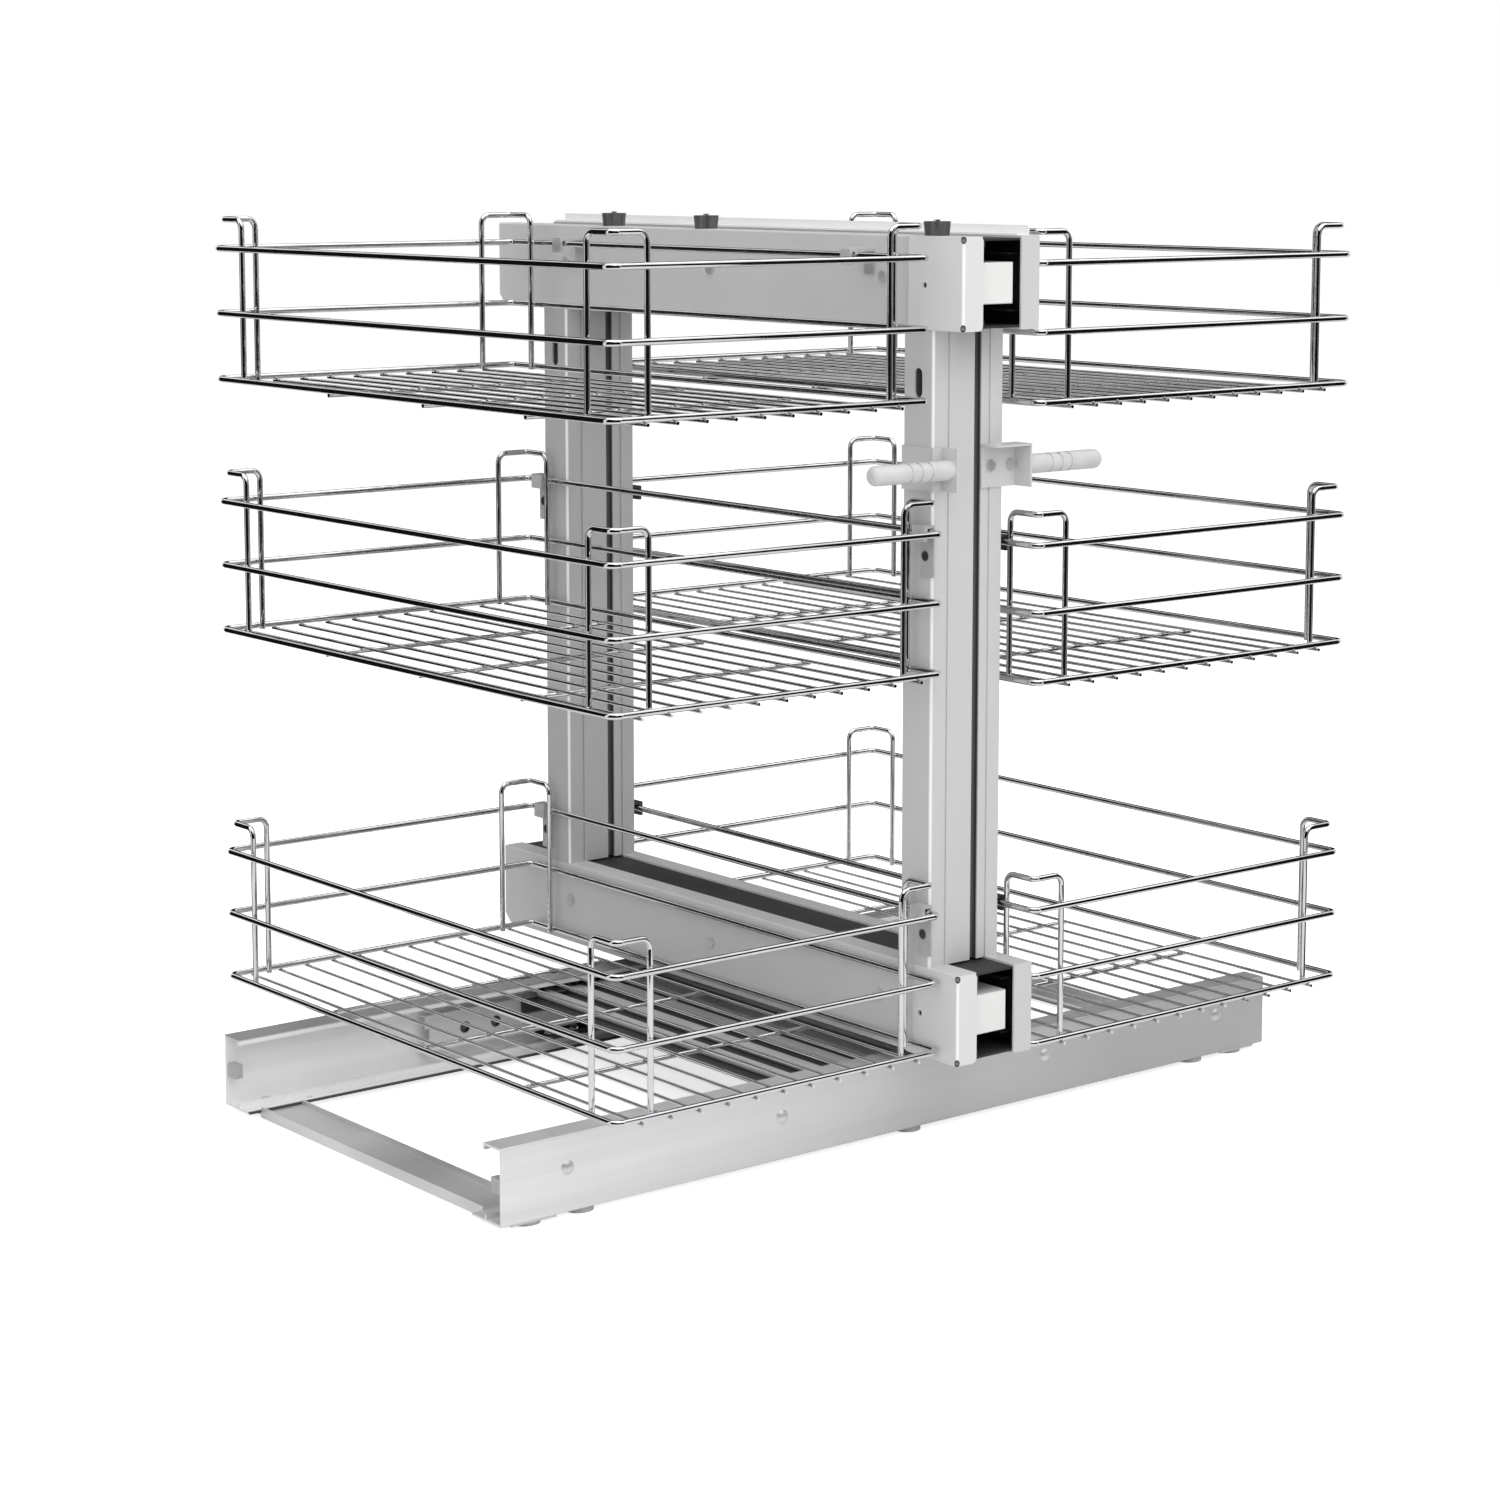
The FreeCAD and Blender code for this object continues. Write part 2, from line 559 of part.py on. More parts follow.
# ---------------------------------------------------------------- telescopic slides
def track(z0, side):
    """A ball-track channel on the inner side of a beam or slide channel; side is its open way."""
    web = TOWER_LEFT + BEAM_WALL + TOUCH if side > 0 else RIGHT_WEB - CHANNEL_WALL - 2 * TOUCH
    middle = z0 + BEAM_HEIGHT / 2
    low, high = middle - TRACK_HEIGHT / 2, middle + TRACK_HEIGHT / 2
    y0, y1 = TOWER_NEAR + SLIDE_END_GAP, TOWER_FAR - SLIDE_END_GAP
    tip = web + side * TRACK_DEPTH
    back = web + side * TRACK_WALL
    return join([
        box(min(web, back), max(web, back), y0, y1, low, high),
        box(min(web, tip), max(web, tip), y0, y1, low, low + TRACK_WALL),
        box(min(web, tip), max(web, tip), y0, y1, high - TRACK_WALL, high),
    ])


def slide_channel(z0):
    """Deep dark channel on the right frame that covers the slider above and below."""
    x0 = TOWER_LEFT + LEFT_BEAM_DEPTH + BLOCK_LEFT_GAP
    x1 = RIGHT_WEB - TOUCH
    low = z0 + BEAM_WALL + TOUCH
    high = z0 + BEAM_HEIGHT - BEAM_WALL - TOUCH
    y0, y1 = TOWER_NEAR + BEAM_WALL + TOUCH, TOWER_FAR
    return join([
        box(x1 - CHANNEL_WALL, x1, y0, y1, low, high),
        box(x0, x1, y0, y1, low, low + CHANNEL_WALL),
        box(x0, x1, y0, y1, high - CHANNEL_WALL, high),
        box(x0, x0 + CHANNEL_WALL, y0, y1, low, low + CHANNEL_LIP),
        box(x0, x0 + CHANNEL_WALL, y0, y1, high - CHANNEL_LIP, high),
    ])


def slider_span():
    """X range of the middle member, which reaches into both tracks."""
    left = TOWER_LEFT + BEAM_WALL + TOUCH + TRACK_WALL + SLIDER_SIDE_GAP
    right = RIGHT_WEB - CHANNEL_WALL - 2 * TOUCH - TRACK_WALL - SLIDER_SIDE_GAP
    return left, right


def slider_height():
    """Height of the middle member between the glides of a track."""
    return TRACK_HEIGHT - 2 * TRACK_WALL - 2 * GLIDE_HEIGHT - 4 * RUN


def tongue_start():
    """Near end of the slider's tongue, which stays behind the right beam's lip when pulled out."""
    return TOWER_NEAR + PULL / 2 + SLIDE_END_GAP + BEAM_WALL


def slider(z0):
    """Middle member: a flat tube out of the left track, with a tongue into the right one."""
    left, right = slider_span()
    narrow = TOWER_RIGHT - RIGHT_BEAM_DEPTH - APART
    middle = z0 + BEAM_HEIGHT / 2
    half = slider_height() / 2
    y0 = TOWER_NEAR + BLOCK_SETBACK + BLOCK_LENGTH + TOUCH
    y1 = TOWER_FAR - SLIDE_END_GAP
    tube = box(left, narrow, y0, y1, middle - half, middle + half)
    hollow = box(left + SLIDER_WALL, narrow - SLIDER_WALL, y0 - PAST, y1 + PAST,
                 middle - half + SLIDER_WALL, middle + half - SLIDER_WALL)
    tongue = box(narrow, right, tongue_start(), y1, middle - half, middle + half)
    return join([tube.cut(hollow), tongue])


def slider_block(z0):
    """White moulded block on the near end of a slider."""
    x0 = TOWER_LEFT + LEFT_BEAM_DEPTH + BLOCK_LEFT_GAP
    x1 = TOWER_RIGHT - RIGHT_BEAM_DEPTH - BLOCK_RIGHT_GAP
    middle = z0 + BEAM_HEIGHT / 2
    y0 = TOWER_NEAR + BLOCK_SETBACK
    block = box(x0, x1, y0, y0 + BLOCK_LENGTH, middle - BLOCK_HEIGHT / 2, middle + BLOCK_HEIGHT / 2)
    near_edges = [edge for edge in block.Edges if abs(edge.CenterOfMass.y - y0) < SAME]
    return block.makeFillet(BLOCK_ROUND, near_edges)


def glides(z0):
    """Moulded pads above and below the slider, two along each track."""
    left, right = slider_span()
    middle = z0 + BEAM_HEIGHT / 2
    half = slider_height() / 2 + TOUCH
    reach = TRACK_DEPTH - TRACK_WALL - SLIDER_SIDE_GAP
    first_left = TOWER_NEAR + BLOCK_SETBACK + BLOCK_LENGTH + SLIDE_END_GAP
    last_right = TOWER_FAR - SLIDE_END_GAP - GLIDE_LENGTH
    places = ((left, first_left), (left, first_left + GLIDE_STEP),
              (right - reach, tongue_start()), (right - reach, last_right))
    group = []
    for x0, y0 in places:
        for z in (middle + half, middle - half - GLIDE_HEIGHT):
            group.append(box(x0, x0 + reach, y0, y0 + GLIDE_LENGTH, z, z + GLIDE_HEIGHT))
    return group


# ---------------------------------------------------------------- top strip, buffers, pegs
def top_strip():
    """Light angle strip along the top of the right frame."""
    z0 = HIGH_BEAM_Z + BEAM_HEIGHT + TOUCH
    x1 = TOWER_RIGHT - STRIP_INSET
    y0 = TOWER_NEAR + STRIP_SETBACK
    return join([
        box(x1 - STRIP_FLANGE, x1, y0, TOWER_FAR, z0, z0 + STRIP_WALL),
        box(x1 - STRIP_WALL, x1, y0, TOWER_FAR, z0, z0 + STRIP_HEIGHT),
    ])


def buffer_places():
    """Centre of each buffer's foot on the left upper beam."""
    x = TOWER_LEFT + LEFT_BEAM_DEPTH / 2
    return [V(x, TOWER_NEAR + y, HIGH_BEAM_Z + BEAM_HEIGHT + TOUCH) for y in BUFFER_FROM_NEAR]


def buffers():
    """Tapered rubber buffers, bored for their studs."""
    group = []
    for place in buffer_places():
        cone = Part.makeCone(BUFFER_FOOT_R, BUFFER_R, BUFFER_HEIGHT, place)
        bore = rod(BUFFER_STUD_R + RUN, place - V(0, 0, PAST), place + V(0, 0, BUFFER_HEIGHT + PAST))
        group.append(cone.cut(bore))
    return group


def buffer_studs():
    """Studs that hold the buffers on the beam."""
    return [rod(BUFFER_STUD_R, place, place + V(0, 0, BUFFER_HEIGHT + BUFFER_STUD_PROUD))
            for place in buffer_places()]


def peg(x_root, side):
    """Ribbed finger peg along X with a rounded tip."""
    y = NEAR_POST_Y - PEG_OUT
    outline = [V(0, 0, 0), V(0, PEG_R, 0)]
    for i in range(PEG_RING_COUNT):
        x = PEG_FIRST_RING + i * PEG_RING_PITCH
        outline += [V(x, PEG_R, 0), V(x, PEG_R - PEG_RING_DEPTH, 0),
                    V(x + PEG_RING_WIDTH, PEG_R - PEG_RING_DEPTH, 0), V(x + PEG_RING_WIDTH, PEG_R, 0)]
    for i in range(PEG_ROUND_STEPS + 1):
        turn = math.pi / 2 * i / PEG_ROUND_STEPS
        outline.append(V(PEG_LENGTH - PEG_ROUND * (1 - math.sin(turn)),
                         PEG_R - PEG_ROUND * (1 - math.cos(turn)), 0))
    outline.append(V(PEG_LENGTH, 0, 0))
    face = Part.Face(Part.makePolygon(outline + outline[:1]))
    body = face.revolve(V(0, 0, 0), V(1, 0, 0), 360)
    if side < 0:
        body = body.mirror(V(0, 0, 0), V(1, 0, 0))
    return body.translate(V(x_root, y, PEG_Z))


def left_peg_plate():
    """Folded plate round the near left post that holds the left peg."""
    x0 = TOWER_LEFT - PLATE_WALL - TOUCH
    x1 = LEFT_PLATE_EDGE
    y0 = NEAR_POST_Y - PLATE_WALL - TOUCH
    z0, z1 = PEG_Z - PLATE_HEIGHT / 2, PEG_Z + PLATE_HEIGHT / 2
    return join([
        box(x0, x1, y0, y0 + PLATE_WALL, z0, z1),
        box(x0, x0 + PLATE_WALL, y0, y0 + POST_DEPTH + PLATE_WALL, z0, z1),
        box(x1 - PLATE_WALL, x1, PLATE_OUT_Y, y0 + PLATE_WALL, z0, z1),
    ])


def right_peg_bracket():
    """Folded bracket on the near right post that holds the right peg."""
    x0 = RIGHT_POST_LEFT
    x1 = RIGHT_BRACKET_EDGE
    y0 = NEAR_POST_Y - PLATE_WALL - TOUCH
    z0, z1 = PEG_Z - PLATE_HEIGHT / 2, PEG_Z + PLATE_HEIGHT / 2
    return join([
        box(x0, x1, y0, y0 + PLATE_WALL, z0, z1),
        box(x0, x1, PLATE_OUT_Y, y0 + PLATE_WALL, z1 - PLATE_WALL, z1),
        box(x1 - PLATE_WALL, x1, PLATE_OUT_Y, y0 + PLATE_WALL, z0, z1),
    ])


# ---------------------------------------------------------------- screws
def beam_heads(face_x, side, rise):
    """Low round heads along the outer faces of both beams of a frame."""
    rows = [TOWER_NEAR + y for y in ROW_FROM_NEAR] + [TOWER_FAR - ROW_FROM_FAR]
    return [rod(HEAD_R, V(face_x, y, z0 + rise), V(face_x + side * HEAD_PROUD, y, z0 + rise))
            for z0 in BEAMS_Z for y in rows]


def bracket_heads():
    """A screw and a rivet on the right peg bracket."""
    y = NEAR_POST_Y - PLATE_WALL - 2 * TOUCH
    return [rod(BRACKET_HEAD_R, V(x, y, PEG_Z), V(x, y - HEAD_PROUD, PEG_Z))
            for x in (RIGHT_POST_LEFT + BRACKET_SCREW_IN, RIGHT_POST_RIGHT + BRACKET_RIVET_OUT)]


# ---------------------------------------------------------------- baskets
def bent_wire(points, bends, radius):
    """A round wire along straight runs joined by tangent arcs; bends are the arcs' radii."""
    edges = []
    start = points[0]
    for i in range(1, len(points) - 1):
        corner, after = points[i], points[i + 1]
        into = (corner - points[i - 1]).normalize()
        away = (after - corner).normalize()
        turn = into.getAngle(away)
        reach = bends[i - 1] * math.tan(turn / 2)
        first, last = corner - into * reach, corner + away * reach
        inward = (away - into).normalize()
        middle = corner + inward * (bends[i - 1] / math.cos(turn / 2) - bends[i - 1])
        edges.append(Part.LineSegment(start, first).toShape())
        edges.append(Part.Arc(first, middle, last).toShape())
        start = last
    edges.append(Part.LineSegment(start, points[-1]).toShape())
    path = Part.Wire(edges)
    way = (points[1] - points[0]).normalize()
    ring = Part.Wire(Part.makeCircle(radius, points[0], way))
    return path.makePipeShell([ring], True, False)


def rim(x0, x1, y0, y1, z):
    """One closed perimeter wire with rounded corners."""
    middle = (x0 + x1) / 2
    corners = [V(middle, y0, z), V(x1, y0, z), V(x1, y1, z), V(x0, y1, z), V(x0, y0, z), V(middle, y0, z)]
    return bent_wire(corners, [BASKET_CORNER] * 4, WIRE_R)


def corner_upright(x, y, sx, sy, z0):
    """Upright that stands inside the rims each side of a corner; sx and sy point into the basket."""
    inset = WIRE_R + UPRIGHT_R - WELD
    cx, cy = x + sx * inset, y + sy * inset
    foot = z0 - WIRE_R
    top = z0 + UPRIGHT_TOP
    along_y = V(cx, y + sy * UPRIGHT_REACH, foot)
    along_x = V(x + sx * UPRIGHT_REACH, cy, foot)
    points = [along_y, V(along_y.x, along_y.y, top), V(cx, cy, top), V(along_x.x, along_x.y, top), along_x]
    return bent_wire(points, [UPRIGHT_BEND, UPRIGHT_CORNER, UPRIGHT_BEND], UPRIGHT_R)


def basket_sides(x0, x1, y0, y1, z):
    """Three rims and four corner uprights, welded into one piece."""
    wires = [rim(x0, x1, y0, y1, z + rise) for rise in (0, RIM_MID, RIM_TOP)]
    for x, sx in ((x0, 1), (x1, -1)):
        for y, sy in ((y0, 1), (y1, -1)):
            wires.append(corner_upright(x, y, sx, sy, z))
    return join(wires)


def basket_floor(x0, x1, y0, y1, z):
    """Thin wires front to back, under the lowest rim, welded on cross wires."""
    thin_z = z - WIRE_R - THIN_R - TOUCH
    cross_z = thin_z - THIN_R - CROSS_R + WELD
    inside = x1 - x0 - 2 * THIN_MARGIN
    count = int(inside / THIN_PITCH) + 1
    first = (x0 + x1) / 2 - THIN_PITCH * (count - 1) / 2
    wires = []
    for i in range(count):
        x = first + i * THIN_PITCH
        ends = WIRE_R + THIN_OVERHANG
        wires.append(rod(THIN_R, V(x, y0 - ends, thin_z), V(x, y1 + ends, thin_z)))
    last = first + THIN_PITCH * (count - 1)
    for i in range(CROSS_COUNT):
        y = y0 + (y1 - y0) * (i + 1) / (CROSS_COUNT + 1)
        wires.append(rod(CROSS_R, V(first - CROSS_OVERHANG, y, cross_z),
                         V(last + CROSS_OVERHANG, y, cross_z)))
    return join(wires)


# ---------------------------------------------------------------- basket clips
def clip(face_x, wire_x, y, wire_z, width, height):
    """A clip from a post's face over a basket's rim wire."""
    side = 1 if wire_x > face_x else -1
    outer = wire_x + side * (WIRE_R + APART + 2 * CLIP_WALL)
    over = wire_z + WIRE_R + APART
    top = over + CLIP_TOP
    y0, y1 = y - width / 2, y + width / 2
    base = face_x + side * TOUCH
    plate = base + side * CLIP_WALL
    lip = outer - side * 2 * CLIP_WALL
    return join([
        box(min(base, plate), max(base, plate), y0, y1, top - height, top),
        box(min(base, outer), max(base, outer), y0, y1, over, top),
        box(min(lip, outer), max(lip, outer), y0, y1, over - CLIP_LIP, top),
    ])


# ---------------------------------------------------------------- write the pieces
front = base_rail()
write("front_base_rail", front)
write("rear_base_rail", across(front))
front_heads = rail_rivets() + bar_rivets()
write("rail_rivets", *front_heads, *[across(head) for head in front_heads])
left_bar = cross_bar()
write("left_cross_bar", left_bar)
write("right_cross_bar", left_bar.mirror(V(0, 0, 0), V(1, 0, 0)))
write("feet", *(feet() + bar_feet()))
write("end_stops", *end_stops())

rear_cage = ball_cage()
write("rear_ball_cage", rear_cage)
write("front_ball_cage", across(rear_cage))
write("rear_balls", *balls(1))
write("front_balls", *balls(-1))

rear_runner = runner()
write("rear_runner", rear_runner)
write("front_runner", across(rear_runner))
write("deck_plate", deck())
write("deck_risers", *risers())

for name, z in (("lower", LOW_BEAM_Z), ("upper", HIGH_BEAM_Z)):
    write(f"left_{name}_beam", left_beam(z))
    write(f"right_{name}_beam", right_beam(z))
    write(f"{name}_end_cover", end_cover(z))
    write(f"{name}_slide_channel", slide_channel(z))
    write(f"{name}_slider", slider(z))
    write(f"{name}_slider_block", slider_block(z))
    write(f"{name}_glides", *glides(z))
write("left_tracks", *[track(z, 1) for z in BEAMS_Z])
write("right_tracks", *[track(z, -1) for z in BEAMS_Z])

for name, y in (("near", NEAR_POST_Y), ("far", FAR_POST_Y)):
    write(f"{name}_left_post", post(TOWER_LEFT, LEFT_POST_WIDTH, y, True))
    write(f"{name}_right_post", post(RIGHT_POST_LEFT, RIGHT_POST_WIDTH, y, False))

write("top_strip", top_strip())
write("buffers", *buffers())
write("buffer_studs", *buffer_studs())
write("left_peg_plate", left_peg_plate())
write("left_peg", peg(LEFT_PLATE_EDGE - PLATE_WALL - TOUCH, -1))
write("right_peg_bracket", right_peg_bracket())
write("right_peg", peg(RIGHT_BRACKET_EDGE + TOUCH, 1))
write("left_screws", *beam_heads(TOWER_LEFT - TOUCH, -1, LEFT_ROW_RISE))
write("right_screws", *beam_heads(TOWER_RIGHT + TOUCH, 1, RIGHT_ROW_RISE), *bracket_heads())

for level, z, x1 in zip(LEVEL_NAMES, LEFT_LEVELS, LEFT_RIGHT_SIDES):
    write(f"left_{level}_basket", basket_sides(LEFT_X0, x1, LEFT_Y0, LEFT_Y1, z))
    write(f"left_{level}_basket_floor", basket_floor(LEFT_X0, x1, LEFT_Y0, LEFT_Y1, z))
for level, z in zip(LEVEL_NAMES, RIGHT_LEVELS):
    write(f"right_{level}_basket", basket_sides(RIGHT_X0, RIGHT_X1, RIGHT_Y0, RIGHT_Y1, z))
    write(f"right_{level}_basket_floor", basket_floor(RIGHT_X0, RIGHT_X1, RIGHT_Y0, RIGHT_Y1, z))

post_middles = [y + POST_DEPTH / 2 for y in POSTS_Y]
clear_run = (BASKET_CORNER + UPRIGHT_REACH) / 2     # between a corner's bend and its upright
left_rows = (LEFT_Y0 + clear_run, LEFT_Y1 - clear_run)
write("left_clips", *[clip(TOWER_LEFT, LEFT_X1, y, z + RIM_TOP, CLIP_WIDTH, CLIP_HEIGHT)
                      for z in LEFT_LEVELS[:2] for y in left_rows])
write("right_clips", *[clip(RIGHT_POST_RIGHT, RIGHT_X0, y, z + RIM_TOP, CLIP_WIDTH, CLIP_HEIGHT)
                       for z in RIGHT_LEVELS[:2] for y in post_middles])
hanger_rows = (TOWER_NEAR + HANGER_FROM_NEAR, TOWER_FAR - HANGER_FROM_FAR)
write("left_hangers", *[clip(TOWER_LEFT, LEFT_TOP_X1, y, LEFT_LEVELS[2] + RIM_TOP, HANGER_WIDTH,
                             HANGER_HEIGHT) for y in hanger_rows])
write("right_hangers", *[clip(TOWER_RIGHT, RIGHT_X0, y, RIGHT_LEVELS[2] + RIM_TOP, HANGER_WIDTH,
                              HANGER_HEIGHT) for y in hanger_rows])
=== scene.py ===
"""Pull-out larder unit for a blind corner: finishes, wire baskets, light and camera.

Metres throughout. X runs along the base rails, Y away from the front and Z up.
"""
import math
import bmesh
import bpy
from mathutils import Matrix, Vector


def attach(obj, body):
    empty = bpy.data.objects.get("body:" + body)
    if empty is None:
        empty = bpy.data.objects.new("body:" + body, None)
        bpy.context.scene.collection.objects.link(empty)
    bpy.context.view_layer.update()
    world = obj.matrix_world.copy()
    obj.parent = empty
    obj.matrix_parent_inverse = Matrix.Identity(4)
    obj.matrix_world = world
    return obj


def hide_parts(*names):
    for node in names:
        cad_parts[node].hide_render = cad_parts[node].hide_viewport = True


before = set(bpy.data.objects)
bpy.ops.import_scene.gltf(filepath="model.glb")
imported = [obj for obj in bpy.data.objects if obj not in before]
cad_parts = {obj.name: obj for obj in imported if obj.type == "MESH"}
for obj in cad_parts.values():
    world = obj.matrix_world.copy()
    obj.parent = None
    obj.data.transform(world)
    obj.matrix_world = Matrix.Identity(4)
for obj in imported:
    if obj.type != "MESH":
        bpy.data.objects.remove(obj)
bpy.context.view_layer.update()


# ---- Base rails and cross-bars -------------------------------------------------------------------
# Two C rails of galvanised strip, rolled to shape and tied by shallow open cross-bars. The zinc has
# soft long streaks from the mill. Both rails are lighter copies of the zinc, as painted light. The
# front rail has painted shade towards its right end, and the rear rail painted shade along its top
# flange and behind its lower lip.
ROLLED = (2.2, 9.0, 60.0)
RELIEF_DEPTH = 0.0004
SPOT_CORE = 0.7
# Where the front rail's painted shade begins and where it is full, along X.
SHADE_FROM_X, SHADE_FULL_X = -0.25, 0.20
FLANGE_Z, FLANGE_SHADE = 0.055, 0.005
LIP_Y, LIP_Z, LIP_SHADE = 0.1415, 0.0025, 0.0035
# A Mix node's sockets for each kind of value share the names A, B and Result; these are the colours'.
MIX_UNDER, MIX_OVER, MIX_RESULT = 6, 7, 2


def mill_grain():
    """Soft streaks: noise stretched by Stretch, spread about one half by Contrast."""
    group = bpy.data.node_groups.new("mill_grain", "ShaderNodeTree")
    for socket, kind in (("Place", "Vector"), ("Stretch", "Vector"), ("Contrast", "Float")):
        group.interface.new_socket(socket, in_out="INPUT", socket_type="NodeSocket" + kind)
    group.interface.new_socket("Mask", in_out="OUTPUT", socket_type="NodeSocketFloat")
    come, go = group.nodes.new("NodeGroupInput"), group.nodes.new("NodeGroupOutput")
    stretched = group.nodes.new("ShaderNodeVectorMath")
    stretched.operation = "MULTIPLY"
    noise = group.nodes.new("ShaderNodeTexNoise")
    noise.inputs["Scale"].default_value = 1.0
    noise.inputs["Detail"].default_value = 4.0
    centred = group.nodes.new("ShaderNodeMath")
    centred.operation = "SUBTRACT"
    centred.inputs[1].default_value = 0.5
    spread = group.nodes.new("ShaderNodeMath")
    spread.operation = "MULTIPLY_ADD"
    spread.use_clamp = True
    spread.inputs[2].default_value = 0.5
    link = group.links.new
    link(come.outputs["Place"], stretched.inputs[0])
    link(come.outputs["Stretch"], stretched.inputs[1])
    link(stretched.outputs[0], noise.inputs["Vector"])
    link(noise.outputs["Fac"], centred.inputs[0])
    link(centred.outputs[0], spread.inputs[0])
    link(come.outputs["Contrast"], spread.inputs[1])
    link(spread.outputs[0], go.inputs["Mask"])
    return group


def grained(name, tints, roughness, stretch, contrast, metallic=0.0, relief=0.0, grain=mill_grain()):
    """A finish whose tint and roughness run between two values along the grain."""
    material = bpy.data.materials.new(name)
    material.use_nodes = True
    nodes, link = material.node_tree.nodes, material.node_tree.links.new
    shader = nodes["Principled BSDF"]
    shader.inputs["Metallic"].default_value = metallic
    place = nodes.new("ShaderNodeTexCoord")
    streaks = nodes.new("ShaderNodeGroup")
    streaks.node_tree = grain
    streaks.inputs["Stretch"].default_value = stretch
    streaks.inputs["Contrast"].default_value = contrast
    tint = nodes.new("ShaderNodeMix")
    tint.data_type = "RGBA"
    tint.inputs[MIX_UNDER].default_value = (*tints[0], 1)
    tint.inputs[MIX_OVER].default_value = (*tints[1], 1)
    rough = nodes.new("ShaderNodeMapRange")
    rough.inputs["To Min"].default_value, rough.inputs["To Max"].default_value = roughness
    link(place.outputs["Object"], streaks.inputs["Place"])
    link(streaks.outputs["Mask"], tint.inputs[0])
    link(tint.outputs[MIX_RESULT], shader.inputs["Base Color"])
    link(streaks.outputs["Mask"], rough.inputs["Value"])
    link(rough.outputs["Result"], shader.inputs["Roughness"])
    if relief:
        bump = nodes.new("ShaderNodeBump")
        bump.inputs["Strength"].default_value = relief
        bump.inputs["Distance"].default_value = RELIEF_DEPTH
        link(streaks.outputs["Mask"], bump.inputs["Height"])
        link(bump.outputs["Normal"], shader.inputs["Normal"])
    return material


def spot_mask():
    """One near Centre, measured along the weighted axes only, and nought beyond Reach."""
    group = bpy.data.node_groups.new("spot_mask", "ShaderNodeTree")
    for socket, kind in (("Place", "Vector"), ("Centre", "Vector"), ("Weights", "Vector"),
                         ("Reach", "Float")):
        group.interface.new_socket(socket, in_out="INPUT", socket_type="NodeSocket" + kind)
    group.interface.new_socket("Mask", in_out="OUTPUT", socket_type="NodeSocketFloat")
    come, go = group.nodes.new("NodeGroupInput"), group.nodes.new("NodeGroupOutput")
    away, weighted, length = (group.nodes.new("ShaderNodeVectorMath") for _ in range(3))
    away.operation, weighted.operation, length.operation = "SUBTRACT", "MULTIPLY", "LENGTH"
    core = group.nodes.new("ShaderNodeMath")
    core.operation = "MULTIPLY"
    core.inputs[1].default_value = SPOT_CORE
    fade = group.nodes.new("ShaderNodeMapRange")
    link = group.links.new
    link(come.outputs["Place"], away.inputs[0])
    link(come.outputs["Centre"], away.inputs[1])
    link(away.outputs[0], weighted.inputs[0])
    link(come.outputs["Weights"], weighted.inputs[1])
    link(weighted.outputs[0], length.inputs[0])
    link(come.outputs["Reach"], core.inputs[0])
    link(length.outputs["Value"], fade.inputs["Value"])
    link(come.outputs["Reach"], fade.inputs["From Min"])
    link(core.outputs[0], fade.inputs["From Max"])
    link(fade.outputs["Result"], go.inputs["Mask"])
    return group


def mark(material, centre, weights, reach, color, spot=spot_mask()):
    """Paint shade or a highlight into a finish near a point, a line or a plane."""
    nodes, link = material.node_tree.nodes, material.node_tree.links.new
    base = nodes["Principled BSDF"].inputs["Base Color"]
    under = base.links[0].from_socket
    place = nodes.new("ShaderNodeTexCoord")
    near = nodes.new("ShaderNodeGroup")
    near.node_tree = spot
    near.inputs["Centre"].default_value = centre
    near.inputs["Weights"].default_value = weights
    near.inputs["Reach"].default_value = reach
    tint = nodes.new("ShaderNodeMix")
    tint.data_type = "RGBA"
    tint.inputs[MIX_OVER].default_value = (*color, 1)
    link(place.outputs["Object"], near.inputs["Place"])
    link(near.outputs["Mask"], tint.inputs[0])
    link(under, tint.inputs[MIX_UNDER])
    link(tint.outputs[MIX_RESULT], base)


def dress(material, slot, *names):
    """Give CAD nodes a finish; the slot argument is not used."""
    for name in names:
        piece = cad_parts[name]
        piece.data.materials.clear()
        piece.data.materials.append(material)


zinc = grained("zinc_sheet", ((0.58, 0.58, 0.585), (0.80, 0.80, 0.805)), (0.34, 0.48), ROLLED, 2.4,
               metallic=0.65, relief=0.10)
# The front rail is painted lighter than the other zinc as painted light, and darker towards its right end as
# painted shade.
front_lit_zinc = grained("front_rail_lit_zinc", ((0.72, 0.72, 0.725), (0.90, 0.90, 0.905)), (0.34, 0.48),
                     ROLLED, 2.4, metallic=0.5, relief=0.10)
shade_reach = (SHADE_FULL_X - SHADE_FROM_X) / (1 - SPOT_CORE)
mark(front_lit_zinc, (SHADE_FROM_X + shade_reach, 0, 0), (1, 0, 0), shade_reach, (0.50, 0.50, 0.503))
# The rear rail is painted lighter than the other zinc as painted light, with painted shade along its top
# flange and a painted shadow line behind its lower lip.
rear_lit_zinc = grained("rear_rail_lit_zinc", ((0.80, 0.80, 0.80), (0.95, 0.95, 0.95)), (0.45, 0.60),
                    ROLLED, 2.0, relief=0.10)
mark(rear_lit_zinc, (0, 0, FLANGE_Z), (0, 0, 1), FLANGE_SHADE, (0.30, 0.30, 0.303))
mark(rear_lit_zinc, (0, LIP_Y, LIP_Z), (0, 1, 1), LIP_SHADE, (0.05, 0.05, 0.05))
dress(front_lit_zinc, "zinc_sheet", "front_base_rail")
dress(rear_lit_zinc, "zinc_sheet", "rear_base_rail")
dress(zinc, "zinc_sheet", "left_cross_bar", "right_cross_bar")


